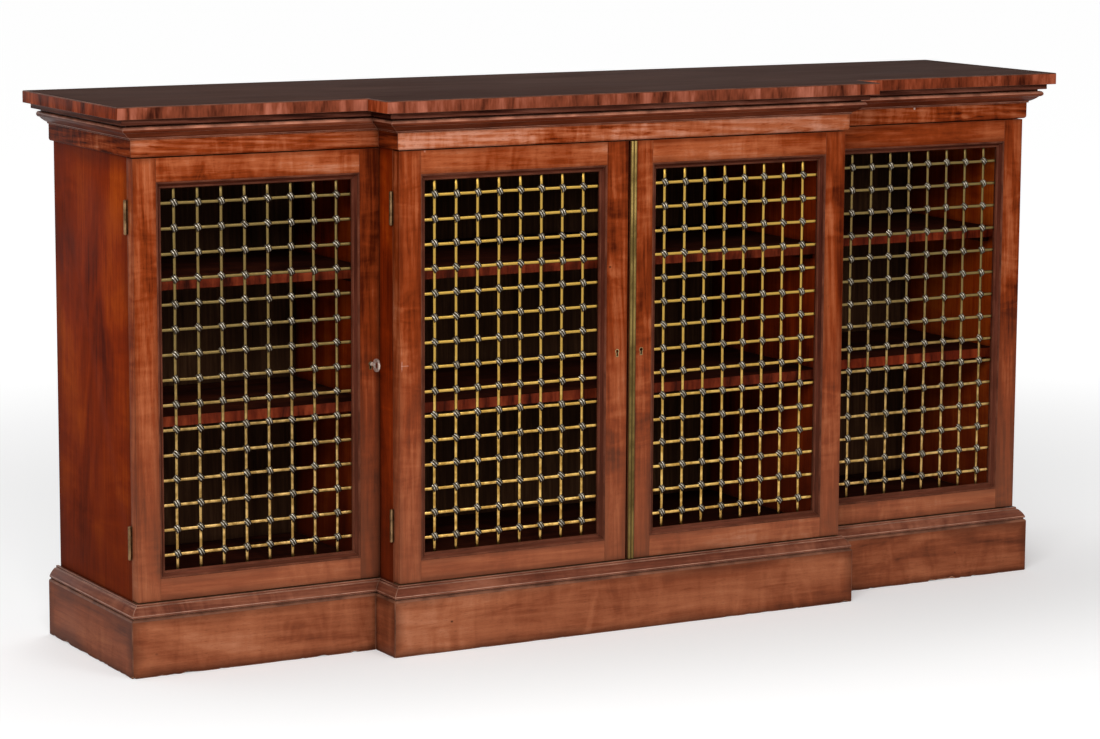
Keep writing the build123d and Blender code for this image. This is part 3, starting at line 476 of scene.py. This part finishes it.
strip = [f for f in shape.faces if f.calc_center_median().z < strip_height]
strip = list({v for f in strip for v in f.verts} | {e for f in strip for e in f.edges}) + strip
chance = random.Random(12)
for axis, plane_no in enumerate((Vector((1, 0, 0)), Vector((0, 1, 0)))):
    cut_at, last_cut = cad_box[0][axis], cad_box[1][axis]
    while cut_at < last_cut:
        cut_at += chance.uniform(finest_cut, widest_cut)
        strip = bmesh.ops.bisect_plane(
            shape, geom=strip, dist=0.00001, plane_co=plane_no * cut_at, plane_no=plane_no)["geom"]
for v in shape.verts:
    near_outside = [(axis, at) for axis, at in outer_planes if abs(v.co[axis] - at) < on_arris]
    if v.co.z > on_arris or not near_outside:
        continue
    depth = 0.0
    for scale, rarity, deepest in chip_kinds:
        depth += max(0.0, noise.noise(v.co * scale) - rarity) * deepest
    v.co.z += depth
    for axis, at in near_outside:
        v.co[axis] -= math.copysign(chip_slope, at) * depth
for face in shape.faces:
    if chip_faces_low < max(v.co.z for v in face.verts) < strip_faces_top:
        face.material_index = chip_slot
shape.to_mesh(plinth.data)
shape.free()
if "custom_normal" in plinth.data.attributes:
    plinth.data.attributes.remove(plinth.data.attributes["custom_normal"])
even = plinth.modifiers.new("even_faces", "WEIGHTED_NORMAL")
even.weight = 100
applied(plinth)
pine = wood("pine", srgb(96, 64, 40), srgb(140, 102, 68), srgb(166, 128, 90), srgb(186, 150, 110),
            roughness=0.62, curl=0.0, streaks=0.1, specular=0.05, low_tint=0.1)
finished("plinth_bracing", [pine], arris=0.0008, seed=12)

# Base moulding: a mahogany nosing with a sloping top, in lengths that are mitred round the
# carcass and glued down on the plinth.
base_wood = wood("base_mahogany", srgb(58, 26, 18), srgb(104, 54, 38), srgb(138, 82, 60),
                 srgb(168, 112, 92), roughness=0.3, flame=0.5, rings=0.1, lines=0.2, streaks=0.1,
                 specular=0.03, low_tint=0.05, painted_corner_shade=0.95, edge=0.0)
# The base moulding's arrises carry a painted highlight.
base_edge = rubbed_and_lit_arris("base_arris", srgb(186, 136, 112), roughness=0.26, specular=0.18)
finished("base_moulding", [base_wood, base_edge], arris=0.0007, seed=21)

# Carcass: mahogany end panels and partitions, with darker bottoms, tops and bearers housed
# between them, pine rails, and upright pine boards across the back.
# The end panels turn darker towards the floor.
panel_wood = wood("panel_mahogany", srgb(72, 18, 4), srgb(134, 43, 7), srgb(170, 70, 15),
                  srgb(190, 95, 32), roughness=0.5, figure=0.55, flame=0.7, curl=0.3, rings=0.08,
                  lines=0.25, streaks=0.12, specular=0.008, low_tint=0.75,
                  low_tint_colour=srgb(84, 34, 18), edge=0.5, edge_reach=0.03)
panel_edge = rubbed_and_lit_arris("panel_arris", srgb(140, 70, 36), roughness=0.4)
partition_painted_shade = -0.15  # darker than the ends: painted shade, as they stand in the shade of the step
for node, seed, tone in (("end_panel_left", 31, 0.0), ("end_panel_right", 32, 0.0),
                         ("partition_left", 33, partition_painted_shade),
                         ("partition_right", 34, partition_painted_shade)):
    finished(node, [panel_wood, panel_edge], arris=0.0006, seed=seed,
             tones=lambda middle, longest: tone)
# The inside boards are near black, partly their own darker wood and partly painted shade of the
# interior.
inner_wood = wood("inner_mahogany", srgb(26, 9, 5), srgb(46, 17, 9), srgb(62, 26, 13),
                  srgb(78, 36, 20), roughness=0.6, specular=0.04, low_tint=0.0)
for node, seed in (("carcass_bottoms", 35), ("carcass_tops", 36), ("shelf_bearers", 37)):
    finished(node, [inner_wood], arris=0.0006, seed=seed)
finished("carcass_rails", [pine], arris=0.0008, seed=38)
# The back boards are darkened, partly as painted shade of the interior.
back_wood = wood("back_pine", srgb(44, 27, 17), srgb(70, 45, 29), srgb(92, 62, 41),
                 srgb(112, 80, 56), roughness=0.7, flame=0.4, curl=0.0, rings=0.15, streaks=0.0,
                 specular=0.03, low_tint=0.0)
finished("back_boards", [back_wood], arris=0.0006, seed=39)


# Shelves: one board each, the front edge faced with a strip of mahogany laid with its grain
# upright, so that it shows dark and light stripes.
def crossband(name, dark, middle, light, stripe=46.0, roughness=0.4, specular=0.012):
    """Facing whose grain runs across a narrow edge, striped along the edge. The rest of its front
    is paler and pinker, a painted sheen; the cabinet's ends and the right wing are warmer,
    without it."""
    material, tree = new_material(name)
    where = put(tree, "ShaderNodeTexCoord").outputs
    facing_x = parted(tree, where["Normal"])[0]
    x, y, z = parted(tree, where["Object"])
    on_end = maths(tree, "GREATER_THAN", maths(tree, "MULTIPLY", facing_x, facing_x), 0.5)
    run = put(tree, "ShaderNodeMix", {0: on_end, 2: x, 3: y}).outputs[0]
    rise = maths(tree, "MULTIPLY", z, 0.2)
    spot = put(tree, "ShaderNodeCombineXYZ", {0: run, 1: rise, 2: on_end}).outputs[0]

    def stripes(scale, detail, distortion=0.0):
        found = put(tree, "ShaderNodeTexNoise", {
            "Vector": spot, "Scale": scale, "Detail": detail, "Distortion": distortion})
        return spread(tree, found.outputs[0], 0.3, 0.7, -1.0, 1.0)

    wide = stripes(stripe / 6, detail=2.0)
    fine = stripes(stripe * 6, detail=3.0)
    strength = maths(tree, "MULTIPLY_ADD", wide, 0.12, 0.2)
    tone = stripes(stripe, detail=3.0, distortion=0.6)
    tone = maths(tree, "MULTIPLY_ADD", tone, strength, 0.5)
    tone = maths(tree, "MULTIPLY_ADD", wide, 0.12, tone)
    tone = maths(tree, "MULTIPLY_ADD", fine, 0.06, tone)
    colour = shaded(tree, tone, (0.28, dark), (0.76, light), (0.5, middle))
    # The ends, and by half the right wing, are made warmer; elsewhere the paler front is painted
    # sheen.
    out_of_sheen = maths(tree, "MAXIMUM", on_end, spread(tree, x, 0.48, 0.56, 0.0, 0.5))
    warmth = (1.12, 0.74, 0.42, 1)
    relief = put(tree, "ShaderNodeBump", {"Strength": 0.2, "Distance": 0.0006, "Height": fine})
    skin(tree, {"Base Color": blend(tree, out_of_sheen, colour, warmth, way="MULTIPLY"),
                "Roughness": roughness, "Specular IOR Level": specular,
                "Normal": relief.outputs[0]})
    return material


mostly = 0.5  # a face looks along an axis when its normal has more than this of the axis
shelf_facing = crossband("shelf_facing", srgb(44, 13, 6), srgb(102, 36, 18), srgb(138, 58, 31),
                         stripe=40.0, roughness=0.55, specular=0.04)
seed = 41
for bay in ("left_wing", "centre", "right_wing"):
    for storey in ("lower", "upper"):
        finished(f"shelf_{bay}_{storey}", [inner_wood, shelf_facing], arris=0.0008,
                 seed=seed,
                 sort=lambda face: 1 if face.normal.y < -mostly else 0)
        seed += 1

# Doors: full-height stiles with the rails tenoned between them, in the best figured mahogany,
# warm red-orange under worn wax.
door_wood = wood("door_mahogany", srgb(72, 22, 6), srgb(134, 54, 20), srgb(168, 88, 51),
                 srgb(191, 123, 92), figure=0.9, flame=0.6, curl=0.5, rings=0.16, lines=0.28,
                 streaks=0.2, marks=0.8, painted_corner_shade=0.95, specular=0.014, low_tint=0.5, edge=0.4,
                 edge_reach=0.01)
door_edge = rubbed_and_lit_arris("door_arris", srgb(140, 76, 46), roughness=0.4, specular=0.1)
doors = ("left_wing", "centre_left", "centre_right", "right_wing")


def pale_marks(material, marks, pale, strength=0.36):
    """Small pale scrapes on the front, each given by its middle and half its size in x and z."""
    tree = material.node_tree
    surface = next(n for n in tree.nodes if n.bl_idname == "ShaderNodeBsdfPrincipled")
    place = put(tree, "ShaderNodeTexCoord").outputs["Object"]
    ragged = put(tree, "ShaderNodeTexNoise", {"Vector": place, "Scale": 260.0, "Detail": 3.0})
    for x, z, half_x, half_z in marks:
        off = vector_maths(tree, "SUBTRACT", place, (x, 0, z))
        off = vector_maths(tree, "MULTIPLY", off, (1 / half_x, 0, 1 / half_z))
        off = parted(tree, vector_maths(tree, "ABSOLUTE", off))
        off = maths(tree, "MAXIMUM", off[0], off[2])
        off = maths(tree, "ADD", off, ragged.outputs[0])
        shown = spread(tree, off, 1.6, 1.3, 0.0, strength)
        colour = surface.inputs["Base Color"].links[0].from_socket
        tree.links.new(blend(tree, shown, colour, pale), surface.inputs["Base Color"])


pale_marks(door_wood, [(-0.4965, 0.5640, 0.0085, 0.0011), (-0.5030, 0.5640, 0.0012, 0.0090),
                       (-0.4539, 0.9735, 0.0018, 0.0018)], srgb(206, 158, 140))
# Painted light: the rails' sheen, the shade to the right and the shade beside the step.
rail_light_tones = {"bottom": 0.05, "left": 0.1, "centre": 0.1, "right": -0.06}
stile_light_tones = {"left": 0.0, "beside_centre": -0.16, "centre_left": 0.06, "meeting": -0.04,
               "centre_right": -0.07, "right": -0.05}
meeting_x, centre_x, wing_x = 0.1, 0.5, 0.55  # the middles of meeting, centre and lock stiles


def door_light_tones(middle, longest):
    """Rails paler than stiles, a painted sheen, and darker on the right, painted shade where the
    light falls off. The wing doors' lock stiles, beside the centre, are the darkest, painted
    shade by the step. A stile is told by how far it is from the cabinet's middle."""
    side = "left" if middle.x < 0 else "right"
    away = abs(middle.x)
    if longest == front_axis:
        return rail_light_tones["bottom" if middle.z < 0.5 else side if away > wing_x else "centre"]
    if away < meeting_x:
        return stile_light_tones["meeting"]
    if away < centre_x:
        return stile_light_tones["centre_" + side]
    return stile_light_tones["beside_centre" if away < wing_x else side]


for seed, door in enumerate(doors, 51):
    finished(f"{door}_door_frame", [door_wood, door_edge], arris=0.0006,
             seed=seed, tones=door_light_tones)

# Sight mouldings: narrow beaded mouldings sunk in the doors' openings, almost black, and the
# plain beads that hold the lattice from behind.
sight_wood = wood("sight_wood", srgb(40, 14, 8), srgb(76, 33, 21), srgb(102, 51, 36),
                  srgb(126, 75, 58), roughness=0.34, flame=0.5, curl=0.0, rings=0.1, streaks=0.1,
                  specular=0.03, bump=0.15, low_tint=0.12, edge=0.0)
sight_edge = rubbed_and_lit_arris("sight_arris", srgb(122, 70, 50), roughness=0.3, specular=0.05)
for number, door in enumerate(doors):
    finished(f"{door}_sight_moulding", [sight_wood, sight_edge], arris=0.0005,
             seed=61 + number, steps=3)
    finished(f"{door}_lattice_bead", [sight_wood], arris=0.0006,
             seed=71 + number)


# Lattice: flat brass bars with rounded faces, the level ones in front of the upright ones, and at
# every crossing a tie of five turns of silvery wire drawn from the upper left to the lower right,
# where every other turn has a painted highlight and the turns between have painted shade.
def metal(name, dark, light, roughness, tarnish_scale=60.0, tarnish=(0.42, 0.62), high_up_colour=None,
          side=None, shine=None, metallic=1.0):
    """Metal clouded from dark to light. A colour given for high up is what it turns to higher
    up, so that only the lower parts keep the lighter colour, a painted reflection of the floor.
    side, if given, is painted shade: what it turns to where it faces away from the front. shine
    names the attribute of the parts with a painted highlight, and the rest turn to side."""
    material, tree = new_material(name)
    where = put(tree, "ShaderNodeTexCoord").outputs
    place = where["Object"]
    cloud = put(tree, "ShaderNodeTexNoise", {
        "Vector": place, "Scale": tarnish_scale, "Detail": 5.0, "Roughness": 0.6}).outputs[0]
    colour = shaded(tree, cloud, (tarnish[0], dark), (tarnish[1], light))
    # Painted reflection: the lower parts keep the lighter colour, as if they mirrored the floor.
    if high_up_colour:
        high_up = spread(tree, parted(tree, place)[2], 0.25, 0.62, 0.0, 0.95)
        colour = blend(tree, high_up, colour, high_up_colour)
    if shine:
        bright = put(tree, "ShaderNodeAttribute", attribute_name=shine).outputs["Fac"]
        colour = blend(tree, bright, side, colour)
    # Painted shade: where the surface faces away from the front, the colour turns to side.
    if side:
        turned_away = spread(tree, parted(tree, where["Normal"])[1], -0.6, -0.95, 0.95, 0.0)
        colour = blend(tree, turned_away, colour, side)
    grit = put(tree, "ShaderNodeTexNoise", {"Vector": place, "Scale": 900.0, "Detail": 3.0})
    relief = put(tree, "ShaderNodeBump", {
        "Strength": 0.1, "Distance": 0.0004, "Height": grit.outputs[0]})
    skin(tree, {"Base Color": colour, "Metallic": metallic,
                "Roughness": spread(tree, cloud, 0.3, 0.7, roughness + 0.12, roughness - 0.06),
                "Normal": relief.outputs[0]})
    return material


def new_tree(name, sizes):
    """A Geometry Nodes tree with named inputs, and its first and last nodes."""
    tree = bpy.data.node_groups.new(name, "GeometryNodeTree")
    for title, kind in sizes:
        tree.interface.new_socket(title, in_out="INPUT", socket_type=kind)
    tree.interface.new_socket("Geometry", in_out="OUTPUT", socket_type="NodeSocketGeometry")
    return tree, tree.nodes.new("NodeGroupInput"), tree.nodes.new("NodeGroupOutput")


def dress(tree, geometry, given, made):
    """Ends a tree: smooth faces, and the material that it is given."""
    smooth = put(tree, "GeometryNodeSetShadeSmooth", {"Geometry": geometry})
    dressed = put(tree, "GeometryNodeSetMaterial", {
        "Geometry": smooth.outputs[0], "Material": given.outputs["Material"]})
    tree.links.new(dressed.outputs[0], made.inputs[0])


def grown(name, tree, values, body, node):
    """Runs a tree with these values, and makes the result a plain piece that rides on a body."""
    piece = bpy.data.objects.new(name, bpy.data.meshes.new(name))
    bpy.context.scene.collection.objects.link(piece)
    growth = piece.modifiers.new("growth", "NODES")
    growth.node_group = tree
    for item in tree.interface.items_tree:
        if item.in_out == "INPUT":
            growth[item.identifier] = values[item.name]
    applied(piece)
    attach(piece, body)
    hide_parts(node)


bar_width, bar_thickness = 0.0064, 0.0024
bar_wave = 0.0011  # how far a bar strays to the sides
bar_wave_depth = 0.15  # how far it strays in depth, as a share of that
bar_wave_scale = 7.0
bars_tree, given, made = new_tree("lattice_bars", [
    ("Count", "NodeSocketInt"), ("Spacing", "NodeSocketFloat"), ("Length", "NodeSocketFloat"),
    ("Turn", "NodeSocketFloat"), ("Middle", "NodeSocketVector"), ("Across", "NodeSocketVector"),
    ("Material", "NodeSocketMaterial")])
rod = put(bars_tree, "GeometryNodeMeshCylinder", {
    "Vertices": 10, "Side Segments": 24, "Radius": 0.5, "Depth": given.outputs["Length"]})
flat = put(bars_tree, "GeometryNodeTransform", {
    "Geometry": rod.outputs["Mesh"], "Scale": (bar_width, bar_thickness, 1.0)})
lean = put(bars_tree, "ShaderNodeCombineXYZ", {1: given.outputs["Turn"]})
laid = put(bars_tree, "GeometryNodeTransform", {
    "Geometry": flat.outputs[0], "Rotation": lean.outputs[0]})
step = put(bars_tree, "ShaderNodeVectorMath", {
    0: given.outputs["Across"], "Scale": given.outputs["Spacing"]}, operation="SCALE")
spaces = maths(bars_tree, "SUBTRACT", given.outputs["Count"], 1.0)
start = put(bars_tree, "ShaderNodeVectorMath", {
    0: step.outputs[0], "Scale": maths(bars_tree, "MULTIPLY", spaces, -0.5)}, operation="SCALE")
start = vector_maths(bars_tree, "ADD", start.outputs[0], given.outputs["Middle"])
places = put(bars_tree, "GeometryNodeMeshLine", {
    "Count": given.outputs["Count"], "Start Location": start, "Offset": step.outputs[0]})
spread_out = put(bars_tree, "GeometryNodeInstanceOnPoints", {
    "Points": places.outputs[0], "Instance": laid.outputs[0]})
real = put(bars_tree, "GeometryNodeRealizeInstances", {0: spread_out.outputs[0]})
here = put(bars_tree, "GeometryNodeInputPosition")
ripple = put(bars_tree, "ShaderNodeTexNoise", {
    "Vector": here.outputs[0], "Scale": bar_wave_scale, "Detail": 1.0})
push = vector_maths(bars_tree, "SUBTRACT", ripple.outputs["Color"], (0.5, 0.5, 0.5))
push = vector_maths(bars_tree, "MULTIPLY", push,
                    (bar_wave * 2, bar_wave * 2 * bar_wave_depth, bar_wave * 2))
waved = put(bars_tree, "GeometryNodeSetPosition", {"Geometry": real.outputs[0], "Offset": push})
dress(bars_tree, waved.outputs[0], given, made)

tie_reach = 0.0075  # from the middle of a tie to where it turns back behind the bars
tie_rise = 0.0030  # of its crest in front of the level bar's face
tie_tuck = 0.0030  # of its ends behind that face
tie_round = tie_rise * 1.1  # how high the ends aim, so that the wire comes over in an arch
tie_wire = 0.0014
tie_pitch = 0.0024
tie_turns = 5
tie_lean = math.radians(-56)
tie_sway = (0.12, 0.12, 0.22)  # how far a tie can sit askew, in radians
tie_seed = 7
ties_tree, given, made = new_tree("lattice_ties", [
    ("Columns", "NodeSocketInt"), ("Rows", "NodeSocketInt"), ("Column Spacing", "NodeSocketFloat"),
    ("Row Spacing", "NodeSocketFloat"), ("Middle", "NodeSocketVector"),
    ("Material", "NodeSocketMaterial")])
arch = put(ties_tree, "GeometryNodeCurvePrimitiveBezierSegment", {
    "Resolution": 3, "Start": (-tie_reach, 0, -tie_tuck), "End": (tie_reach, 0, -tie_tuck),
    "Start Handle": (-tie_reach, 0, tie_round), "End Handle": (tie_reach, 0, tie_round)})
ring = put(ties_tree, "GeometryNodeCurvePrimitiveCircle", {"Resolution": 4, "Radius": tie_wire})
wire = put(ties_tree, "GeometryNodeCurveToMesh", {
    "Curve": arch.outputs[0], "Profile Curve": ring.outputs[0], "Fill Caps": True})
half_pile = (tie_turns - 1) / 2
turns = put(ties_tree, "GeometryNodeMeshLine", {
    "Count": tie_turns, "Start Location": (0, -tie_pitch * half_pile, 0),
    "Offset": (0, tie_pitch, 0)})
# Every other turn is marked to take a painted highlight; the turns between take painted shade.
number = put(ties_tree, "GeometryNodeInputIndex")
marked = put(ties_tree, "GeometryNodeStoreNamedAttribute", {
    "Geometry": turns.outputs[0], "Name": "painted_highlight_turn",
    "Value": maths(ties_tree, "MODULO", number.outputs[0], 2.0)})
wound = put(ties_tree, "GeometryNodeInstanceOnPoints", {
    "Points": marked.outputs[0], "Instance": wire.outputs[0]})
wound = put(ties_tree, "GeometryNodeRealizeInstances", {0: wound.outputs[0]})
slanted = put(ties_tree, "GeometryNodeTransform", {
    "Geometry": wound.outputs[0], "Rotation": (0, 0, tie_lean)})
wide, high = [
    maths(ties_tree, "MULTIPLY", maths(ties_tree, "SUBTRACT", given.outputs[count], 1.0),
          given.outputs[spacing])
    for count, spacing in (("Columns", "Column Spacing"), ("Rows", "Row Spacing"))]
crossings = put(ties_tree, "GeometryNodeMeshGrid", {
    "Size X": wide, "Size Y": high, "Vertices X": given.outputs["Columns"],
    "Vertices Y": given.outputs["Rows"]})
sway = put(ties_tree, "FunctionNodeRandomValue", {
    0: [-most for most in tie_sway], 1: tie_sway, "Seed": tie_seed}, data_type="FLOAT_VECTOR")
tied = put(ties_tree, "GeometryNodeInstanceOnPoints", {
    "Points": crossings.outputs[0], "Instance": slanted.outputs[0], "Rotation": sway.outputs[0]})
real = put(ties_tree, "GeometryNodeRealizeInstances", {0: tied.outputs[0]})
stood = put(ties_tree, "GeometryNodeTransform", {
    "Geometry": real.outputs[0], "Rotation": (math.radians(90), 0, 0),
    "Translation": given.outputs["Middle"]})
dress(ties_tree, stood.outputs[0], given, made)

lattice_columns, lattice_rows = 8, 15
frame_lap = 0.013  # bars run this far behind the sight moulding at each end
lattice_margin = 0.6  # from the outer bars to the moulding, as a share of a space between bars
# The bars' side colours are painted shade, and only their lower parts keep a painted reflection of
# the floor.
bar_brass = metal("bar_brass", srgb(164, 124, 60), srgb(232, 190, 110), roughness=0.34,
                  high_up_colour=srgb(176, 141, 66), side=srgb(92, 66, 26))
dull_bar_brass = metal("dull_bar_brass", srgb(150, 116, 62), srgb(214, 174, 108), roughness=0.42,
                       high_up_colour=srgb(110, 92, 54), side=srgb(70, 56, 30))
# Its side colour is painted shade, on the turns between and where a wire faces away from the front.
tie_silver = metal("tie_silver", srgb(152, 144, 130), srgb(226, 217, 202), roughness=0.28,
                   tarnish_scale=220.0, side=srgb(76, 66, 52), shine="painted_highlight_turn")


def bar_spacing(length, bars):
    """From bar to bar, for so many bars in an opening whose crossing bars have this length."""
    return (length - 2 * frame_lap) / (bars - 1 + 2 * lattice_margin)


for door in doors:
    bars, ties, body = f"{door}_lattice_bars", f"{door}_lattice_ties", f"{door}_door"
    low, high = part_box(bars)
    middle, size = (low + high) / 2, high - low
    ties_low, ties_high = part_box(ties)
    lattice_x = (ties_low.x + ties_high.x) / 2
    column_spacing = bar_spacing(size.x, lattice_columns)
    row_spacing = bar_spacing(size.z, lattice_rows)
    level_y = low.y + bar_thickness / 2
    upright_y = high.y - bar_thickness / 2
    brass = dull_bar_brass if door.endswith("wing") else bar_brass
    grown(f"{door}_level_bars", bars_tree, {
        "Count": lattice_rows, "Spacing": row_spacing, "Length": size.x,
        "Turn": math.radians(90), "Middle": (middle.x, level_y, middle.z), "Across": (0, 0, 1),
        "Material": brass}, body, bars)
    grown(f"{door}_upright_bars", bars_tree, {
        "Count": lattice_columns, "Spacing": column_spacing, "Length": size.z,
        "Turn": 0.0, "Middle": (lattice_x, upright_y, middle.z), "Across": (1, 0, 0),
        "Material": brass}, body, bars)
    grown(f"{door}_ties", ties_tree, {
        "Columns": lattice_columns, "Rows": lattice_rows, "Column Spacing": column_spacing,
        "Row Spacing": row_spacing, "Middle": (lattice_x, low.y, middle.z),
        "Material": tie_silver}, body, ties)

# Hinges: brass butts of 63.5 mm with three knuckles and a pin, two to a door, their leaves let
# in flush into the door's stile and the carcass.
hinge_brass = metal("hinge_brass", srgb(78, 56, 36), srgb(154, 122, 86), roughness=0.42,
                    tarnish=(0.3, 0.72))
for node in ["hinge_leaves", "hinge_pins"] + [f"{door}_hinge_leaves" for door in doors]:
    finished(node, [hinge_brass], arris=0.0009, steps=3, angle=30.0)

# Locks, bolts and key: brass cases let into the backs of the stiles, small brass escutcheons
# round the keyholes, and a steel key with a ring bow.
fitting_brass = metal("fitting_brass", srgb(112, 88, 56), srgb(192, 160, 112), roughness=0.38,
                      tarnish_scale=50.0, tarnish=(0.3, 0.72))
# The inside of each keyhole is painted near black, as the shade within it.
keyhole_shade = metal("keyhole_painted_shade", srgb(6, 4, 3), srgb(14, 10, 7), roughness=0.7,
                  tarnish_scale=90.0)
plate_face = 0.0001  # points within this of the frontmost make up the escutcheon's face
plate_depth = 0.0008  # what lies deeper than this behind a door's face is inside its keyhole
hole_reach = Vector((0.006, 1.0, 0.014))  # how far a keyhole goes from the middle of its plate
for door in doors:
    fittings = f"{door}_door_fittings"
    face_y, plate_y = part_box(f"{door}_door_frame")[0].y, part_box(fittings)[0].y
    points = [v.co for v in frame["nodes"][fittings].data.vertices]
    plate = [point for point in points if point.y < plate_y + plate_face]
    hole = sum(plate, Vector()) / len(plate)

    def in_keyhole(face):
        middle = face.calc_center_median()
        close = all(abs(middle[k] - hole[k]) < hole_reach[k] for k in range(3))
        return middle.y > face_y + plate_depth and face.normal.y < (mostly if close else -mostly)

    finished(fittings, [fitting_brass, fitting_brass, keyhole_shade], arris=0.0003,
             angle=30.0, sort=lambda face: 2 if in_keyhole(face) else 0)
for node in ("left_wing_lock_bolt", "centre_right_lock_bolt", "right_wing_lock_bolt",
             "slip_bolt_top", "slip_bolt_bottom", "strike_plates"):
    finished(node, [fitting_brass], arris=0.0003, angle=30.0)
key_steel = metal("key_steel", srgb(176, 160, 148), srgb(236, 220, 206), roughness=0.34,
                  tarnish_scale=160.0, metallic=0.6)
finished("key", [key_steel], arris=0.0010, steps=3, angle=30.0)

# Astragal: a brass strip with two reeds, pinned along the meeting edge of the right-hand centre
# door, so that it covers the gap between the two doors.
# Its side colour is painted shade where it faces away from the front.
astragal_brass = metal("astragal_brass", srgb(90, 73, 39), srgb(134, 112, 64), roughness=0.5,
                       tarnish_scale=14.0, side=srgb(94, 75, 41))
finished("astragal", [astragal_brass], arris=0.0003)

# Frieze: level mahogany boards above the doors, with a rounded lower edge, mitred at the corners
# and glued to the rails behind them.
frieze_wood = wood("frieze_mahogany", srgb(62, 18, 6), srgb(132, 52, 18), srgb(170, 92, 57),
                   srgb(197, 132, 105), figure=1.1, flame=0.55, curl=0.46, rings=0.3, lines=0.34,
                   streaks=0.5, marks=0.3, specular=0.012, edge=0.3, edge_reach=0.008)
pale_marks(frieze_wood, [(0.7319, 1.0078, 0.0022, 0.0020)], srgb(240, 226, 214))
frieze_edge = rubbed_and_lit_arris("frieze_arris", srgb(152, 86, 58), roughness=0.36, specular=0.05)
# Painted light: the frieze is toned by where the light falls on it.
frieze_light_tones = {"left": 0.12, "centre": 0.18, "right": -0.06, "return": -0.13}


def frieze_light_tone(middle, longest):
    """Paler in the centre than in the wings, a painted sheen, darker on the right, painted shade
    where the light falls off, and darkest on the returns, painted shade on faces turned from
    the light.
    """
    if longest != front_axis:
        return frieze_light_tones["return"]
    if abs(middle.x) < centre_x:
        return frieze_light_tones["centre"]
    return frieze_light_tones["left"] if middle.x < 0 else frieze_light_tones["right"]


finished("frieze_boards", [frieze_wood, frieze_edge], arris=0.0005, seed=81,
         tones=frieze_light_tone)

# Cornice: a mahogany moulding with a small fillet, a hollow slope and a rounded nose, in lengths
# that are mitred at the corners and glued on above the frieze.
cornice_wood = wood("cornice_mahogany", srgb(48, 15, 6), srgb(90, 37, 19), srgb(120, 60, 38),
                    srgb(156, 94, 72), roughness=0.3, flame=0.5, curl=0.15, rings=0.1,
                    lines=0.25, streaks=0.15, specular=0.025, edge=0.0)
# The cornice's arrises carry a painted highlight.
cornice_edge = rubbed_and_lit_arris("cornice_arris", srgb(188, 134, 110), roughness=0.28, specular=0.12)
# The upper faces of the nose get a painted highlight.
cornice_nose_highlight = rubbed_and_lit_arris("cornice_nose_highlight", srgb(188, 122, 96), roughness=0.3, specular=0.08)
nose_top, nose_low = 0.95, 0.05  # how far up the faces of the nose look that catch the light
nose_height = 1.0255
finished("cornice_moulding", [cornice_wood, cornice_edge, cornice_nose_highlight], arris=0.0005,
         seed=91, sort=lambda face: 2 if nose_low < face.normal.z < nose_top
         and face.calc_center_median().z > nose_height else 0)

# Top: one board with its lining beneath. The upper face is dark and dull, with its grain along
# the cabinet, and the edge is faced with crossbanded mahogany.
lining_wood = wood("lining_mahogany", srgb(48, 20, 13), srgb(88, 44, 31), srgb(116, 67, 52),
                   srgb(142, 95, 80), roughness=0.36, specular=0.02, curl=0.1, edge=0.0,
                   painted_corner_shade=0.45)
finished("top_lining", [lining_wood], arris=0.0006, seed=92)
top_wood = wood("top_mahogany", srgb(42, 28, 24), srgb(56, 40, 35), srgb(66, 48, 42),
                srgb(80, 60, 52), roughness=0.8, figure=0.8, flame=0.4, curl=0.06, rings=0.15,
                streaks=0.1, painted_corner_shade=0.0, specular=0.012, bump=0.12, low_tint=0.0, marks=0.2,
                edge=0.3, edge_reach=0.02)
edge_facing = crossband("edge_facing", srgb(54, 21, 12), srgb(124, 61, 40), srgb(170, 99, 77),
                        stripe=36.0)
top_edge = rubbed_and_lit_arris("top_arris", srgb(122, 72, 52), roughness=0.3, specular=0.03)
finished("top_board", [top_wood, top_edge, edge_facing], arris=0.0007, seed=93,
         sort=lambda face: 2 if abs(face.normal.z) < mostly else 0)
